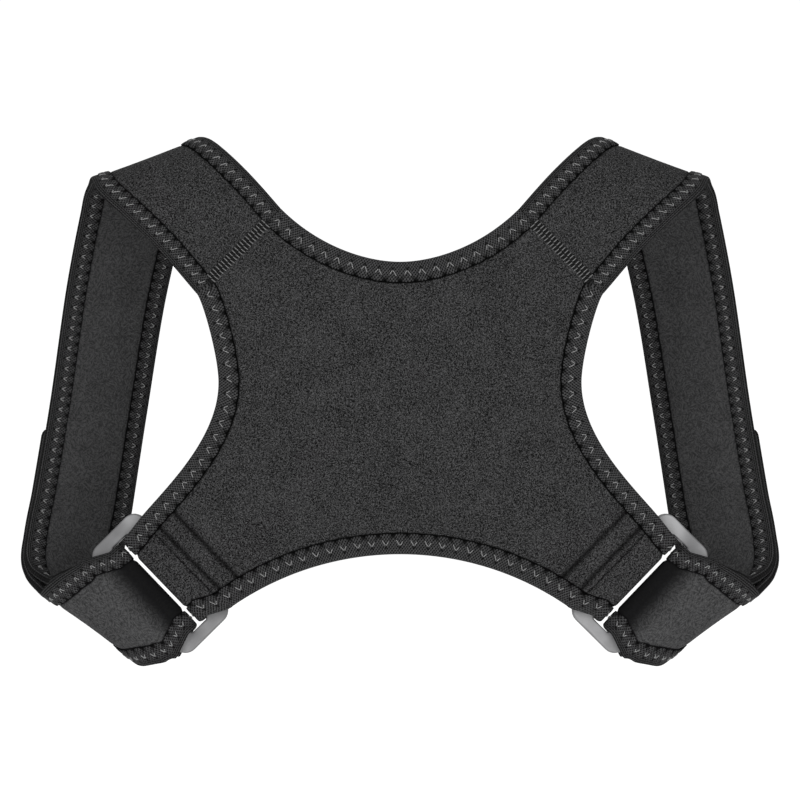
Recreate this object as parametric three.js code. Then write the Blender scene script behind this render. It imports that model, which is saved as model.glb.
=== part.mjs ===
// Posture corrector: a cross-shaped neoprene back panel with two shoulder straps.
// Each strap is sewn to an upper arm of the panel, runs over the shoulder and down in front of
// it, comes back under the arm to a slide ring in the hem of the lower arm, passes out through
// the ring and doubles back over itself, where a hook patch holds its free end.
// It keeps the form that it has when worn. The origin is the middle of the panel's body side,
// +X is the wearer's right, +Y is towards the wearer and +Z is up.
import * as THREE from 'three';

// Driving dimensions, millimetres and degrees
const NEOPRENE = 3;             // wall of the laminated neoprene
const EDGE_WALL = 2.2;          // the same wall where the binding squeezes it
const TAPE_WALL = 1;            // binding tape
const TAPE_COVER = 12;          // how far the binding reaches in from its own edge
const EDGE_TAPER = 2.5;         // stretch in which the wall swells to its full thickness
const CLEARANCE = 0.3;          // between pieces that are sewn or pressed together

const STRAP_WIDTH = 72;         // over both bindings
const PANEL_HEIGHT = 175.4;      // in the middle, over both bindings
const WAIST_WIDTH = 218.4;      // at its narrowest, over both bindings
const WAIST_HEIGHT = 15.3;      // of the narrowest place above the origin
const BACK_RADIUS = 1000;       // the shallow bend of the panel across the back
const SEAM_OUT = 96.8;          // middle of the shoulder seam, out from the centre line
const SEAM_UP = 94.1;           // and above the origin
const UPPER_ARM_ANGLE = 45;     // the shoulder strap leaves the panel at this rise
const NECK_MIDDLE_PULL = 21;    // how long the neck edge stays level beside the centre line
const NECK_SEAM_PULL = 32;      // how long it keeps the direction of the strap at the seam
const ARMHOLE_UPPER_PULL = 16;  // how long the armhole edge stays upright above the waist
const ARMHOLE_LOWER_PULL = 35;  // and below it
const ARMHOLE_SEAM_PULL = 5;    // how long it keeps the direction of the strap at the seam
const ARMHOLE_HEM_PULL = 22;    // and that of the lower arm at the hem

const RING_OUT = 145.9;         // middle of the slide ring, out from the centre line
const RING_DOWN = 106.1;        // and below the origin
const LOWER_ARM_ANGLE = 44.6;   // the lower arm falls to the ring at this slope
const RING_LENGTH = 86.5;
const RING_WIDTH = 41.5;
const RING_THICKNESS = 3.6;
const RING_CORNER = 8;
const RING_ROUNDING = 1.2;
const SLOT_LENGTH = 70.2;
const SLOT_WIDTH = 12.8;
const SLOT_CORNER = 1.2;
const RING_CLEARANCE = 0.5;     // between the ring and the cloth folded round it
const CLOTH_IN_SLOT = 68.8;     // width of the arm and of the strap where the slot gathers them

const HEM_START = 20;           // where the hem begins to narrow, from the middle of the slot
const HEM_LENGTH = 42;          // where its turned-in layer ends
const HEM_FLARE_ARMHOLE = 1.5;  // how much wider the arm is there, at the armhole edge
const HEM_FLARE_BOTTOM = 6.2;   // and at the bottom edge
const HEM_REST = 1.5;           // length in which its turned-in layer still lies on the ring's plane
const HEM_CLOSE = 7;            // length in which the two layers come together past the ring
const HEM_TAPER = 6;            // lean of the armhole edge against the lower arm at the hem

const SHOULDER_RISE = 56.8;     // top of the strap above the shoulder seam
const SIDE_REACH = 77.5;        // how far the loop stands out from the line of seam and ring
const LOOP_DEPTH = 88;          // how far it reaches to the front
const UNDERARM_DROP = 18.6;     // how far it hangs below the ring
const RING_LEAD = 7;            // how far past the ring the strap still lies along it
const LEAD_SHIFT = 3.4;         // its middle's shift there along the slot, to the armhole edge
const LEAD_LIFT = 0.45;          // and how far it has come off the ring
const LAYER_GAP = 0.4;          // between the bindings of the strap's two layers
const FREE_LENGTH = 166;        // doubled-back end, from the ring to its tip
const PATCH_LENGTH = 50;        // hook patch
const PATCH_INSET = 4;          // from the binding to the patch

// Facets of the curved edges and of the cloth's turn round a bar
const NECK_STEPS = 8;
const BOTTOM_STEPS = 10;
const ARMHOLE_UPPER_STEPS = 8;
const ARMHOLE_LOWER_STEPS = 10;
const TURN_STEPS = 6;
const FIELD_SHARES = [0, 0.35, 0.7, 1];

// Sizes that follow from these
const rad = THREE.MathUtils.degToRad;
const TAPE_NOSE = CLEARANCE + TAPE_WALL;
const THIN_REACH = TAPE_COVER - TAPE_NOSE + CLEARANCE;
const FULL_REACH = THIN_REACH + EDGE_TAPER;
const BOUND_HALF = EDGE_WALL / 2 + CLEARANCE + TAPE_WALL;
const LAYER_STEP = 2 * BOUND_HALF + LAYER_GAP;
const PATCH_WALL = LAYER_STEP - NEOPRENE - 2 * CLEARANCE;
const RING_SEAT = RING_THICKNESS / 2 + RING_CLEARANCE + BOUND_HALF;
const BAR_EDGE = SLOT_WIDTH / 2 + RING_THICKNESS / 2;

const ALONG_RING = { x: Math.sin(rad(LOWER_ARM_ANGLE)), z: Math.cos(rad(LOWER_ARM_ANGLE)) };
const ACROSS_RING = { x: ALONG_RING.z, z: -ALONG_RING.x };
const ALONG_SEAM = { x: Math.sin(rad(UPPER_ARM_ANGLE)), z: -Math.cos(rad(UPPER_ARM_ANGLE)) };

const neoprene = { color: 0x2e2e2e, roughness: 0.95, metalness: 0 };
const jersey = { color: 0x323232, roughness: 0.9, metalness: 0 };
const tape = { color: 0x262626, roughness: 0.8, metalness: 0 };
const plastic = { color: 0x5c5c5c, roughness: 0.45, metalness: 0 };
const hooks = { color: 0x1c1c1c, roughness: 0.7, metalness: 0 };

// A point of the flat pattern laid on the bent back and lifted off it to the outside.
function onBack(x, z, lift) {
  const outside = new THREE.Vector3(x / BACK_RADIUS, -1, 0).normalize();
  const middle = new THREE.Vector3(x, (x * x) / (2 * BACK_RADIUS) - NEOPRENE / 2, z);
  return middle.addScaledVector(outside, lift);
}

// A point in the ring's own directions: along the slot, across it away from the panel, and
// outwards from the middle of the ring's thickness.
function atRing(along, across, out) {
  const x = RING_OUT + along * ALONG_RING.x + across * ACROSS_RING.x;
  const z = -RING_DOWN + along * ALONG_RING.z + across * ACROSS_RING.z;
  return onBack(x, z, out - RING_SEAT);
}

// Distances from the first bound edge at which a strip of cloth has its columns.
function columns(width) {
  const near = [0, THIN_REACH, FULL_REACH];
  return [...near, width / 2, ...near.map((reach) => width - reach).reverse()];
}

// Half the wall of the cloth at each of those columns.
const COLUMN_HALVES = [EDGE_WALL, EDGE_WALL, NEOPRENE, NEOPRENE, NEOPRENE, EDGE_WALL, EDGE_WALL]
  .map((wall) => wall / 2);

// A closed mesh from vertices and triangles, with its faces turned to the outside.
function closedGeometry(points, triangles) {
  const volume = triangles.reduce((sum, [a, b, c]) => {
    return sum + points[a].dot(new THREE.Vector3().crossVectors(points[b], points[c]));
  }, 0);
  const turned = volume < 0 ? triangles.map(([a, b, c]) => [a, c, b]) : triangles;
  const geometry = new THREE.BufferGeometry().setFromPoints(points);
  geometry.setIndex(turned.flat());
  geometry.computeVertexNormals();
  return geometry;
}

// A wall of cloth. Every place on it is a pair of points, one on each face, and the open
// border of the two faces is closed with a narrow edge.
class Cloth {
  constructor() {
    this.pairs = [];
    this.faces = [];
    this.known = new Map();
  }

  place(pair) {
    const key = pair[0].toArray().map((value) => Math.round(value * 1000)).join(' ');
    if (!this.known.has(key)) {
      this.known.set(key, this.pairs.length);
      this.pairs.push(pair);
    }
    return this.known.get(key);
  }

  triangle(first, second, third) {
    this.faces.push([this.place(first), this.place(second), this.place(third)]);
  }

  strip(rows) {
    for (let row = 0; row + 1 < rows.length; row += 1) {
      for (let column = 0; column + 1 < rows[row].length; column += 1) {
        const [a, b] = [rows[row][column], rows[row][column + 1]];
        const [c, d] = [rows[row + 1][column], rows[row + 1][column + 1]];
        this.triangle(a, b, d);
        this.triangle(a, d, c);
      }
    }
  }

  geometry() {
    const count = this.pairs.length;
    const points = [...this.pairs.map((pair) => pair[0]), ...this.pairs.map((pair) => pair[1])];
    const triangles = [...this.faces, ...this.faces.map(([a, b, c]) => [c + count, b + count, a + count])];
    const sides = ([a, b, c]) => [`${a} ${b}`, `${b} ${c}`, `${c} ${a}`];
    const edges = new Set(this.faces.flatMap(sides));
    for (const edge of edges) {
      const [a, b] = edge.split(' ').map(Number);
      if (!edges.has(`${b} ${a}`)) {
        triangles.push([b, a, a + count], [b, a + count, b + count]);
      }
    }
    return closedGeometry(points, triangles);
  }
}

// Binding tape folded round an edge. A station is a function that places a point of the fold's
// section: its reach in from the cloth's edge and its height off the cloth's middle.
function bindingGeometry(stations) {
  const reach = TAPE_COVER - TAPE_NOSE;
  const cloth = BOUND_HALF - TAPE_WALL;
  const section = [
    [reach, -BOUND_HALF], [-TAPE_NOSE, -BOUND_HALF], [-TAPE_NOSE, BOUND_HALF], [reach, BOUND_HALF],
    [reach, cloth], [-CLEARANCE, cloth], [-CLEARANCE, -cloth], [reach, -cloth],
  ];
  const size = section.length;
  const points = stations.flatMap((station) => section.map(([across, lift]) => station(across, lift)));
  const triangles = [];
  for (let station = 0; station + 1 < stations.length; station += 1) {
    for (let corner = 0; corner < size; corner += 1) {
      const a = station * size + corner;
      const b = station * size + ((corner + 1) % size);
      const inwards = corner % 4 !== 0;
      const next = inwards ? b + size : a + size;
      triangles.push([a, b, next], inwards ? [a, next, a + size] : [b, b + size, next]);
    }
  }
  const last = (stations.length - 1) * size;
  for (const [a, b, c, d] of [[0, 1, 6, 7], [1, 2, 5, 6], [2, 3, 4, 5]]) {
    triangles.push([a, d, c], [a, c, b]);
    triangles.push([last + a, last + b, last + c], [last + a, last + c, last + d]);
  }
  return closedGeometry(points, triangles);
}

// The right half of the flat pattern, as edges of the cloth inside its binding
const flat = (x, z) => new THREE.Vector2(x, z);
const seamMiddle = flat(SEAM_OUT, SEAM_UP);
const alongSeam = flat(ALONG_SEAM.x, ALONG_SEAM.z);
const seamWidth = STRAP_WIDTH - 2 * TAPE_NOSE;
const seamPlaces = columns(seamWidth)
  .map((reach) => seamMiddle.clone().addScaledVector(alongSeam, reach - seamWidth / 2));

// The two bound edges of the hem, along the slot, at a distance from the middle of the slot.
function hemEdges(distance) {
  const share = Math.min(Math.max((distance - BAR_EDGE) / (HEM_START - BAR_EDGE), 0), 1);
  const half = CLOTH_IN_SLOT / 2 - TAPE_NOSE;
  return [half + share * HEM_FLARE_ARMHOLE, -half - share * HEM_FLARE_BOTTOM];
}

function hemColumns(distance) {
  const [armhole, bottom] = hemEdges(distance);
  return columns(armhole - bottom).map((reach) => armhole - reach);
}

const hemPlaces = hemColumns(HEM_START).map((along) => flat(
  RING_OUT + along * ALONG_RING.x - HEM_START * ACROSS_RING.x,
  -RING_DOWN + along * ALONG_RING.z - HEM_START * ACROSS_RING.z,
));

// An arc that leaves the centre line level at a height and ends at a given place.
function levelArc(height, end, steps) {
  const climb = end.y - height;
  const sweep = 2 * Math.atan2(Math.abs(climb), end.x);
  const radius = end.x / Math.sin(sweep);
  return Array.from({ length: steps + 1 }, (_, step) => {
    const angle = (sweep * step) / steps;
    return flat(radius * Math.sin(angle), height + Math.sign(climb) * radius * (1 - Math.cos(angle)));
  });
}

const halfHeight = PANEL_HEIGHT / 2 - TAPE_NOSE;
const strapWay = flat(-alongSeam.y, alongSeam.x);
const neckHalf = new THREE.CubicBezierCurve(
  flat(0, halfHeight),
  flat(NECK_MIDDLE_PULL, halfHeight),
  seamPlaces[0].clone().addScaledVector(strapWay, -NECK_SEAM_PULL),
  seamPlaces[0],
).getPoints(NECK_STEPS);
const bottomHalf = levelArc(-halfHeight, hemPlaces.at(-1), BOTTOM_STEPS);

const waist = flat(WAIST_WIDTH / 2 - TAPE_NOSE, WAIST_HEIGHT);
const armWay = flat(Math.cos(rad(LOWER_ARM_ANGLE + HEM_TAPER)), -Math.sin(rad(LOWER_ARM_ANGLE + HEM_TAPER)));
const armholeUpper = new THREE.CubicBezierCurve(
  seamPlaces.at(-1),
  seamPlaces.at(-1).clone().addScaledVector(strapWay, -ARMHOLE_SEAM_PULL),
  waist.clone().add(flat(0, ARMHOLE_UPPER_PULL)),
  waist,
).getPoints(ARMHOLE_UPPER_STEPS);
const armholeLower = new THREE.CubicBezierCurve(
  waist,
  waist.clone().add(flat(0, -ARMHOLE_LOWER_PULL)),
  hemPlaces[0].clone().addScaledVector(armWay, -ARMHOLE_HEM_PULL),
  hemPlaces[0],
).getPoints(ARMHOLE_LOWER_STEPS);
const armhole = [...armholeUpper, ...armholeLower.slice(1)];

const mirror = (point) => flat(-point.x, point.y);
const wholeEdge = (half) => [...half.slice(1).map(mirror).reverse(), ...half];
const neck = wholeEdge(neckHalf);
const bottom = wholeEdge(bottomHalf).reverse();

// Each point of a bound edge with its direction into the cloth. The edge runs clockwise seen
// from outside, and at its two ends the direction follows the seam or the hem.
function boundEdge(points, firstInward, lastInward) {
  return points.map((point, index) => {
    if (index === 0) return { point, inward: firstInward };
    if (index === points.length - 1) return { point, inward: lastInward };
    const way = points[index + 1].clone().sub(points[index - 1]).normalize();
    return { point, inward: flat(way.y, -way.x) };
  });
}

const seamInward = alongSeam;
const hemInward = flat(-ALONG_RING.x, -ALONG_RING.z);
const back = (direction) => direction.clone().negate();
const neckEdge = boundEdge(neck, mirror(seamInward), seamInward);
const armholeEdge = boundEdge(armhole, back(seamInward), hemInward);
const bottomEdge = boundEdge(bottom, back(hemInward), mirror(back(hemInward)));
const mirrorEdge = (edge) => edge.map(({ point, inward }) => {
  return { point: mirror(point), inward: mirror(inward) };
}).reverse();

// The hem's turn round the inner bar of the ring, as places across and out of the ring with
// the outward direction of the cloth there.
function turnRound(side, steps) {
  return Array.from({ length: steps + 1 }, (_, step) => {
    const angle = (Math.PI * step) / steps;
    const [across, out] = [side * Math.sin(angle), Math.cos(angle)];
    return {
      across: -side * BAR_EDGE + RING_SEAT * across,
      out: RING_SEAT * out,
      way: [across, out],
    };
  });
}

const hemInner = RING_SEAT - LAYER_STEP;
const closeTilt = Math.atan2(hemInner + RING_SEAT, HEM_CLOSE);
const closeWay = [-Math.sin(closeTilt / 2), -Math.cos(closeTilt / 2)];
const restEnd = -RING_WIDTH / 2 - HEM_REST;
const hemTurn = [
  { across: -HEM_START, out: RING_SEAT, way: [0, 1] },
  ...turnRound(1, TURN_STEPS),
  { across: restEnd, out: -RING_SEAT, way: closeWay },
  { across: restEnd - HEM_CLOSE, out: hemInner, way: closeWay },
  { across: -HEM_LENGTH, out: hemInner, way: [0, -1] },
];

function hemPoint(step, along, lift, side) {
  const point = atRing(along, step.across + lift * step.way[0], step.out + lift * step.way[1]);
  point.x *= side;
  return point;
}

function hemRow(step, side) {
  return hemColumns(-step.across).map((along, column) => {
    const half = COLUMN_HALVES[column];
    return [hemPoint(step, along, half, side), hemPoint(step, along, -half, side)];
  });
}

function hemStations(edgeIndex, side) {
  return hemTurn.slice(1).map((step) => (reach, lift) => {
    const inward = edgeIndex === 0 ? -reach : reach;
    return hemPoint(step, hemEdges(-step.across)[edgeIndex] + inward, lift, side);
  });
}

// Back panel: bound borders, a field of nested rings, and a hem round the ring on each side
function backPanelGeometry() {
  const cloth = new Cloth();
  const pairAt = (point, half) => [onBack(point.x, point.y, half), onBack(point.x, point.y, -half)];
  const edges = [neckEdge, armholeEdge, bottomEdge, mirrorEdge(armholeEdge)];
  for (const edge of edges) {
    cloth.strip([0, THIN_REACH, FULL_REACH].map((reach) => edge.map(({ point, inward }) => {
      const half = reach < FULL_REACH ? EDGE_WALL / 2 : NEOPRENE / 2;
      return pairAt(point.clone().addScaledVector(inward, reach), half);
    })).reverse());
  }
  const inside = (edge) => edge.map(({ point, inward }) => {
    return point.clone().addScaledVector(inward, FULL_REACH);
  });
  const middles = [seamPlaces[3], hemPlaces[3], mirror(hemPlaces[3]), mirror(seamPlaces[3])];
  const field = edges.flatMap((edge, index) => [...inside(edge), middles[index]]);
  const closed = [...field, field[0]];
  const rings = FIELD_SHARES.map((share) => closed.map((point) => {
    return pairAt(point.clone().multiplyScalar(share), NEOPRENE / 2);
  }));
  cloth.strip(rings.slice(1));
  for (let index = 0; index + 1 < closed.length; index += 1) {
    cloth.triangle(rings[0][0], rings[1][index + 1], rings[1][index]);
  }
  for (const side of [1, -1]) {
    const rows = hemTurn.map((step) => hemRow(step, side));
    cloth.strip(side > 0 ? rows : rows.map((row) => [...row].reverse()));
  }
  return cloth.geometry();
}

function edgeStations(edge) {
  return edge.map(({ point, inward }) => (reach, lift) => {
    return onBack(point.x + reach * inward.x, point.y + reach * inward.y, lift);
  });
}

const rightHem = (edgeIndex) => hemStations(edgeIndex, 1);
const leftHem = (edgeIndex) => hemStations(edgeIndex, -1);
const neckBinding = edgeStations(neckEdge);
const bottomBinding = [...rightHem(1).reverse(), ...edgeStations(bottomEdge), ...leftHem(1)];
const rightArmholeBinding = [...edgeStations(armholeEdge), ...rightHem(0)];
const leftArmholeBinding = [...leftHem(0).reverse(), ...edgeStations(mirrorEdge(armholeEdge))];

// Course of the strap on the wearer's right, a row for each place: along is the share of the
// way from the shoulder seam to the ring, out, deep, up and down are shares of the loop's own
// sizes, slant and turn give the lean of the strap's width, and wide its share of full width
const COURSE = [
  { along: 0, out: 0.27, deep: 0.02, up: 0.42, down: 0, slant: -42, turn: 0, wide: 0.99 },
  { along: 0, out: 0.53, deep: 0.1, up: 0.76, down: 0, slant: -33, turn: -3, wide: 0.99 },
  { along: 0, out: 0.71, deep: 0.24, up: 0.96, down: 0, slant: -25, turn: -6, wide: 1 },
  { along: 0, out: 0.765, deep: 0.41, up: 1, down: 0, slant: -20, turn: -10, wide: 0.99 },
  { along: 0, out: 0.81, deep: 0.6, up: 0.84, down: 0, slant: -11, turn: -17, wide: 0.98 },
  { along: 0, out: 0.9, deep: 0.73, up: 0.48, down: 0, slant: 1, turn: -25, wide: 0.95 },
  { along: 0.1, out: 0.985, deep: 0.85, up: 0, down: 0, slant: 9.5, turn: -30, wide: 0.94 },
  { along: 0.47, out: 0.91, deep: 0.92, up: 0, down: 0, slant: 9.5, turn: -31, wide: 0.93 },
  { along: 0.76, out: 0.845, deep: 0.89, up: 0, down: 0, slant: 11, turn: -29, wide: 0.93 },
  { along: 0.92, out: 0.803, deep: 0.797, up: 0, down: 0, slant: 18.7, turn: -25.9, wide: 0.925 },
  { along: 1, out: 0.681, deep: 0.674, up: 0, down: 0.297, slant: 22.5, turn: -23.1, wide: 0.995 },
  { along: 1, out: 0.609, deep: 0.537, up: 0, down: 0.781, slant: 29.2, turn: -17, wide: 0.887 },
  { along: 1, out: 0.532, deep: 0.359, up: 0, down: 0.991, slant: 35.8, turn: -4.8, wide: 0.861 },
  { along: 1, out: 0.403, deep: 0.217, up: 0, down: 1.05, slant: 42, turn: 5, wide: 0.88 },
];

// Rows that lead on to the ring: past, shift and lift are shares of its lead's own sizes
const APPROACH = [
  { past: 1, shift: 1, lift: 1, wide: 1.01 },
  { past: 0.2, shift: 0.4, lift: 0, wide: 1.13 },
];
const STEPS_PER_ROW = 2;

const seamPoint = onBack(SEAM_OUT, SEAM_UP, 0);
const ringPoint = onBack(RING_OUT, -RING_DOWN, 0);
const seamTurn = Math.atan(ALONG_SEAM.x * (SEAM_OUT / BACK_RADIUS));
const ringTurn = (across) => {
  return Math.atan(ALONG_RING.x * (RING_OUT + across * ACROSS_RING.x) / BACK_RADIUS);
};
const leadAcross = ({ past }) => RING_WIDTH / 2 + past * RING_LEAD;

function courseCentre({ along, out, deep, up, down }) {
  const base = seamPoint.clone().lerp(ringPoint, along);
  return base.add(new THREE.Vector3(
    out * SIDE_REACH,
    deep * LOOP_DEPTH,
    up * SHOULDER_RISE - down * UNDERARM_DROP,
  ));
}

const seamStart = seamMiddle.clone().addScaledVector(strapWay, CLEARANCE);
const centreCurve = new THREE.CatmullRomCurve3([
  onBack(seamStart.x, seamStart.y, 0),
  ...COURSE.map(courseCentre),
  ...APPROACH.map((row) => {
    return atRing(row.shift * LEAD_SHIFT, leadAcross(row), -RING_SEAT - row.lift * LEAD_LIFT);
  }),
], false, 'centripetal');
const leanCurve = new THREE.CatmullRomCurve3([
  new THREE.Vector3(rad(UPPER_ARM_ANGLE - 90), seamTurn, 1),
  ...COURSE.map(({ slant, turn, wide }) => new THREE.Vector3(rad(slant), rad(turn), wide)),
  ...APPROACH.map((row) => {
    return new THREE.Vector3(rad(90 - LOWER_ARM_ANGLE), ringTurn(leadAcross(row)), row.wide);
  }),
], false, 'catmullrom', 0.5);
const ROW_COUNT = (COURSE.length + APPROACH.length) * STEPS_PER_ROW;
const LEAST_APART = 0.2 / ROW_COUNT;
const courseLength = centreCurve.getLength();
const shareAt = (fromRing) => centreCurve.getUtoTmapping(1 - fromRing / courseLength);

// The strap at a share of its course: its middle, its way to the ring, the direction of its
// width to the armhole edge, its outward direction, and half the width of its cloth.
function strapFrame(share) {
  const centre = centreCurve.getPoint(share);
  const way = centreCurve.getTangent(share);
  const lean = leanCurve.getPoint(share);
  const width = new THREE.Vector3(
    Math.cos(lean.x) * Math.cos(lean.y),
    Math.sin(lean.y),
    Math.sin(lean.x) * Math.cos(lean.y),
  );
  const outward = new THREE.Vector3().crossVectors(width, way);
  const skew = outward.length();
  return {
    share, centre, way,
    outward: outward.normalize(),
    across: width.divideScalar(skew),
    half: (STRAP_WIDTH / 2) * lean.z - TAPE_NOSE,
  };
}

// How far the doubled-back layer stands off the layer under it, from the ring to the tip
const closeStart = shareAt(RING_WIDTH / 2);
const closeEnd = shareAt(FREE_LENGTH / 2);
function layerStep(share) {
  const opened = THREE.MathUtils.smoothstep(share, closeEnd, closeStart);
  return THREE.MathUtils.lerp(LAYER_STEP, 2 * RING_SEAT, opened);
}

// A row of the strap is a function that places a point from its distance across to the armhole
// edge, its height to the smooth side of the cloth, and its distance back from the free end.
const innerRow = (frame) => (across, lift) => frame.centre.clone()
  .addScaledVector(frame.across, across)
  .addScaledVector(frame.outward, -lift);
const outerRow = (frame) => (across, lift, fromTip = 0) => frame.centre.clone()
  .addScaledVector(frame.across, across)
  .addScaledVector(frame.outward, layerStep(frame.share) + lift)
  .addScaledVector(frame.way, fromTip);
const turnRow = (step) => (across, lift) => atRing(
  across,
  step.across + lift * step.way[0],
  step.out + lift * step.way[1],
);

const tipZone = [FULL_REACH, THIN_REACH, 0].map((reach) => shareAt(FREE_LENGTH - reach));
const patchStart = FREE_LENGTH - TAPE_COVER - PATCH_INSET;
const patchEnds = [patchStart, patchStart - PATCH_LENGTH].map(shareAt);
const evenShares = Array.from({ length: ROW_COUNT + 1 }, (_, index) => index / ROW_COUNT);
const apart = (share) => patchEnds.every((end) => Math.abs(end - share) > LEAST_APART);
const rowShares = [...evenShares.filter(apart), ...patchEnds].sort((a, b) => a - b);
const freeShares = rowShares.filter((share) => share > tipZone[0] + LEAST_APART).reverse();
const slotHalf = CLOTH_IN_SLOT / 2 - TAPE_NOSE;
const lastApproach = APPROACH.at(-1);
const approachHalf = (STRAP_WIDTH / 2) * lastApproach.wide - TAPE_NOSE;
const approachRow = (face) => ({
  at: (across, lift) => atRing(
    across + lastApproach.shift * LEAD_SHIFT,
    leadAcross(lastApproach),
    face * (RING_SEAT + lift),
  ),
  half: approachHalf,
});
const strapRows = [
  ...rowShares.slice(0, -1).map(strapFrame).map((frame) => ({ at: innerRow(frame), half: frame.half })),
  approachRow(-1),
  ...turnRound(-1, TURN_STEPS).reverse().map((step) => ({ at: turnRow(step), half: slotHalf })),
  approachRow(1),
  ...freeShares.slice(1).map(strapFrame).map((frame) => ({ at: outerRow(frame), half: frame.half })),
  ...tipZone.map(strapFrame).map((frame, index) => {
    return { at: outerRow(frame), half: frame.half, thin: index > 0 };
  }),
];

function strapGeometry() {
  const cloth = new Cloth();
  cloth.strip(strapRows.map(({ at, half, thin }) => columns(2 * half).map((reach, column) => {
    const wall = thin ? EDGE_WALL / 2 : COLUMN_HALVES[column];
    return [at(half - reach, -wall), at(half - reach, wall)];
  })));
  return cloth.geometry();
}

// The strap's binding runs down one edge, round the free end and back along the other
function strapBindingGeometry() {
  const sides = [1, -1].map((side) => strapRows.slice(0, -1).map(({ at, half }) => {
    return (reach, lift) => at(side * (half - reach), lift);
  }));
  const tip = strapRows.at(-1);
  const corners = [1, -1].map((side) => (reach, lift) => {
    return tip.at(side * (tip.half - reach), lift, reach);
  });
  return bindingGeometry([...sides[0], ...corners, ...sides[1].reverse()]);
}

// Slide ring: a flat moulded rectangle with one slot, bent like the back it lies on
function ringOutline(shape, length, width, corner) {
  const [x, y] = [length / 2, width / 2];
  shape.moveTo(x - corner, y);
  shape.absarc(-x + corner, y - corner, corner, Math.PI / 2, Math.PI);
  shape.absarc(-x + corner, -y + corner, corner, Math.PI, 1.5 * Math.PI);
  shape.absarc(x - corner, -y + corner, corner, 1.5 * Math.PI, 2 * Math.PI);
  shape.absarc(x - corner, y - corner, corner, 0, Math.PI / 2);
  return shape;
}

function ringGeometry() {
  const plate = ringOutline(new THREE.Shape(), RING_LENGTH, RING_WIDTH, RING_CORNER);
  plate.holes.push(ringOutline(new THREE.Path(), SLOT_LENGTH, SLOT_WIDTH, SLOT_CORNER));
  const moulded = new THREE.ExtrudeGeometry(plate, {
    depth: RING_THICKNESS - 2 * RING_ROUNDING,
    bevelThickness: RING_ROUNDING,
    bevelSize: RING_ROUNDING,
    bevelOffset: -RING_ROUNDING,
    bevelSegments: 1,
    curveSegments: 4,
  });
  const position = moulded.getAttribute('position');
  const middle = RING_THICKNESS / 2 - RING_ROUNDING;
  for (let index = 0; index < position.count; index += 1) {
    const place = atRing(position.getX(index), -position.getY(index), position.getZ(index) - middle);
    position.setXYZ(index, place.x, place.y, place.z);
  }
  moulded.computeVertexNormals();
  return moulded;
}

// Hook patch, sewn to the free end and pressed on the layer under it
function patchGeometry() {
  const shares = rowShares.filter((share) => share >= patchEnds[0] && share <= patchEnds[1]);
  const half = STRAP_WIDTH / 2 - TAPE_COVER - PATCH_INSET;
  const cloth = new Cloth();
  cloth.strip(shares.map(strapFrame).map((frame) => [-half, 0, half].map((across) => {
    const base = frame.centre.clone().addScaledVector(frame.across, across);
    return [PATCH_WALL / 2, -PATCH_WALL / 2].map((lift) => {
      return base.clone().addScaledVector(frame.outward, layerStep(frame.share) / 2 + lift);
    });
  })));
  return cloth.geometry();
}

function piece(name, geometry, finish) {
  const mesh = new THREE.Mesh(geometry, new THREE.MeshStandardMaterial(finish));
  mesh.name = name;
  return mesh;
}

const postureCorrector = new THREE.Group();
postureCorrector.add(
  piece('back_panel', backPanelGeometry(), neoprene),
  piece('neck_binding', bindingGeometry(neckBinding), tape),
  piece('bottom_binding', bindingGeometry(bottomBinding), tape),
  piece('right_armhole_binding', bindingGeometry(rightArmholeBinding), tape),
  piece('left_armhole_binding', bindingGeometry(leftArmholeBinding), tape),
);
for (const [side, scale] of [['right', 1], ['left', -1]]) {
  const shoulder = new THREE.Group();
  shoulder.scale.x = scale;
  shoulder.add(
    piece(`${side}_strap`, strapGeometry(), jersey),
    piece(`${side}_strap_binding`, strapBindingGeometry(), tape),
    piece(`${side}_ring`, ringGeometry(), plastic),
    piece(`${side}_hook_patch`, patchGeometry(), hooks),
  );
  postureCorrector.add(shoulder);
}

export default postureCorrector;
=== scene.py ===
import math

import bpy
import numpy as np
from mathutils.geometry import delaunay_2d_cdt
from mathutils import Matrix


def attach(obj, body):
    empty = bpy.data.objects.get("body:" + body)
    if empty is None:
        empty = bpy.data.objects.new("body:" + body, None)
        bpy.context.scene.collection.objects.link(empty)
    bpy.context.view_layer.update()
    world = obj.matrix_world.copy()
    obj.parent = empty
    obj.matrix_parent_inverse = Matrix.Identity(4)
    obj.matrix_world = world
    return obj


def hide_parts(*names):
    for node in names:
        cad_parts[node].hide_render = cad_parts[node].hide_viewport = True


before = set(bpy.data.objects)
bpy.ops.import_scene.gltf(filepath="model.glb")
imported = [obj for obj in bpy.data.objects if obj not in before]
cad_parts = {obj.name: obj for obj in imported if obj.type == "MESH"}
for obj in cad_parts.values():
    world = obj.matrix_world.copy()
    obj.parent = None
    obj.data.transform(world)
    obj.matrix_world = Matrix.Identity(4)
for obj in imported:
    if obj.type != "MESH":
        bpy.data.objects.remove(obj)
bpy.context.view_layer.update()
scene = bpy.context.scene

# The photograph's view: level and square on to the back panel, from so far that it is nearly flat.
VIEW_DISTANCE = 1.6
VIEW_HEIGHT = 0.0048
LENS = 120
camera = bpy.data.objects.new("camera", bpy.data.cameras.new("camera"))
camera.data.lens = LENS
camera.location = (0, -VIEW_DISTANCE, VIEW_HEIGHT)
camera.rotation_euler = (math.pi / 2, 0, 0)
scene.collection.objects.link(camera)
scene.camera = camera

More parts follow.
